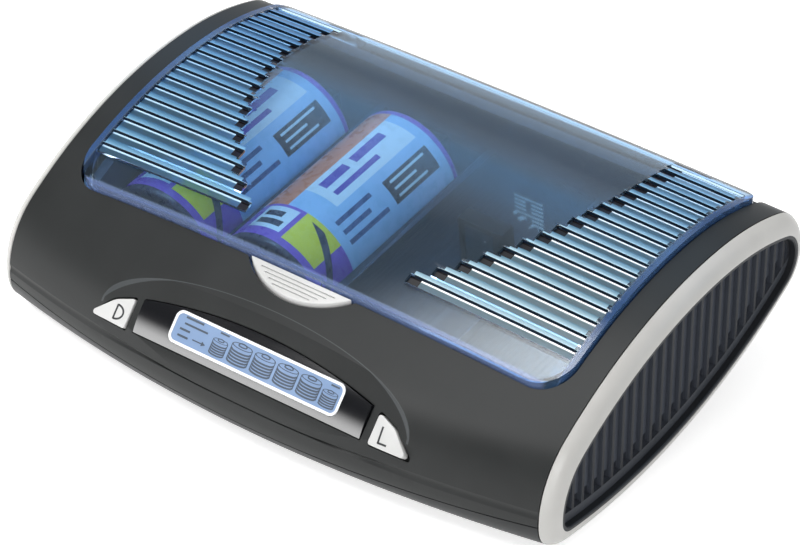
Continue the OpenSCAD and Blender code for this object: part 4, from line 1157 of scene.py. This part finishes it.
# Studio
# A plain white sweep under and around the object, with broad soft lamps and the photograph's camera.
# Its walls are bright low down and far behind, as the lid mirrors them.
FLOOR_GLOW, SHARED_LIGHT, FAR_LIGHT = 0.62, 0.55, 2.2
WHITE = (1, 1, 1, 1)
white_floor, wires, skin = new_material("white_floor")
path = wires.add("ShaderNodeLightPath").outputs
mirrored_or_through = wires.maths("MAXIMUM", path["Is Glossy Ray"], path["Is Transmission Ray"])
seen = wires.maths("MAXIMUM", path["Is Camera Ray"], mirrored_or_through)
for label, value in (("Base Color", (0.8, 0.8, 0.8, 1)), ("Roughness", 0.9), ("Emission Color", WHITE),
                     ("Emission Strength", wires.times(seen, FLOOR_GLOW))):
    wires.feed(skin[label], value)
floor = solid("floor", [(-2000, -2000, 0), (2000, -2000, 0), (2000, 2000, 0), (-2000, 2000, 0)], [(0, 1, 2, 3)])
paint(floor, white_floor)
floor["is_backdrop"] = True

world = bpy.data.worlds.new("studio")
bpy.context.scene.world = world
world.use_nodes = True
wires, sky = Wiring(world.node_tree), world.node_tree.nodes["Background"].inputs
path = wires.add("ShaderNodeLightPath").outputs
glossy = path["Is Glossy Ray"]
towards = wires.add("ShaderNodeSeparateXYZ", {0: wires.add("ShaderNodeTexCoord").outputs["Generated"]}).outputs
low_wall = wires.spread(towards["Z"], 0.8, 0.08, 0.15, 0.54, "SMOOTHSTEP")
far_share = wires.bands(towards["Y"], [(0.28, "#000000"), (0.5, "#f0f0f0"), (0.6, "#ffffff"), (0.74, "#707070"),
                                       (1, "#484848")])
walls = wires.maths("MAXIMUM", low_wall, wires.times(far_share, FAR_LIGHT))
mirrored = wires.times(glossy, walls)
plain = wires.maths("MAXIMUM", path["Is Camera Ray"], path["Is Transmission Ray"])
shared = wires.times(wires.maths("SUBTRACT", 1.0, glossy), SHARED_LIGHT)
wires.feed(sky["Color"], wires.mix(wires.times(far_share, glossy), WHITE, tone("#a4ccf4")))
wires.feed(sky["Strength"], wires.maths("MAXIMUM", wires.maths("MAXIMUM", mirrored, plain), shared))


def lamp(name, spot, size, power):
    """Square softbox aimed at the object. It fades to its edges, so its reflection has no hard border."""
    data = bpy.data.lights.new(name, "AREA")
    data.shape = "SQUARE"
    data.size = size
    data.energy = power
    data.use_nodes = True
    wires = Wiring(data.node_tree)
    on_lamp = wires.add("ShaderNodeNewGeometry").outputs["Parametric"]
    off_middle = wires.add("ShaderNodeVectorMath", {0: on_lamp, 1: (0.5, 0.5, 0)}, operation="DISTANCE")
    wires.feed(data.node_tree.nodes["Emission"].inputs["Strength"],
               wires.spread(off_middle.outputs["Value"], 0, 1, 0.5, 0.1, "SMOOTHSTEP"))
    light = bpy.data.objects.new(name, data)
    bpy.context.scene.collection.objects.link(light)
    light.location = spot
    light.rotation_euler = (Vector((0, 0, 0.03)) - Vector(spot)).to_track_quat("-Z", "Y").to_euler()


lamp("key", (-0.23, -0.06, 1.15), 0.75, 19)
lamp("fill", (1.1, -0.85, 0.55), 0.9, 20)
lamp("low", (-0.62, -1.0, 0.16), 0.8, 12)
lamp("front", (-0.38, -0.62, 1.0), 0.5, 16)

camera_data = bpy.data.cameras.new("camera")
camera_data.sensor_width = 36
camera_data.lens = 167.5
camera_data.clip_start = 0.01
camera = bpy.data.objects.new("camera", camera_data)
bpy.context.scene.collection.objects.link(camera)
camera.location = (0.4783, -0.6167, 0.5691)
camera.rotation_euler = (math.radians(90 - 35.08), 0, math.radians(37.54))
bpy.context.scene.camera = camera
bpy.context.scene.view_settings.view_transform = "Standard"

low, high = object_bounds()
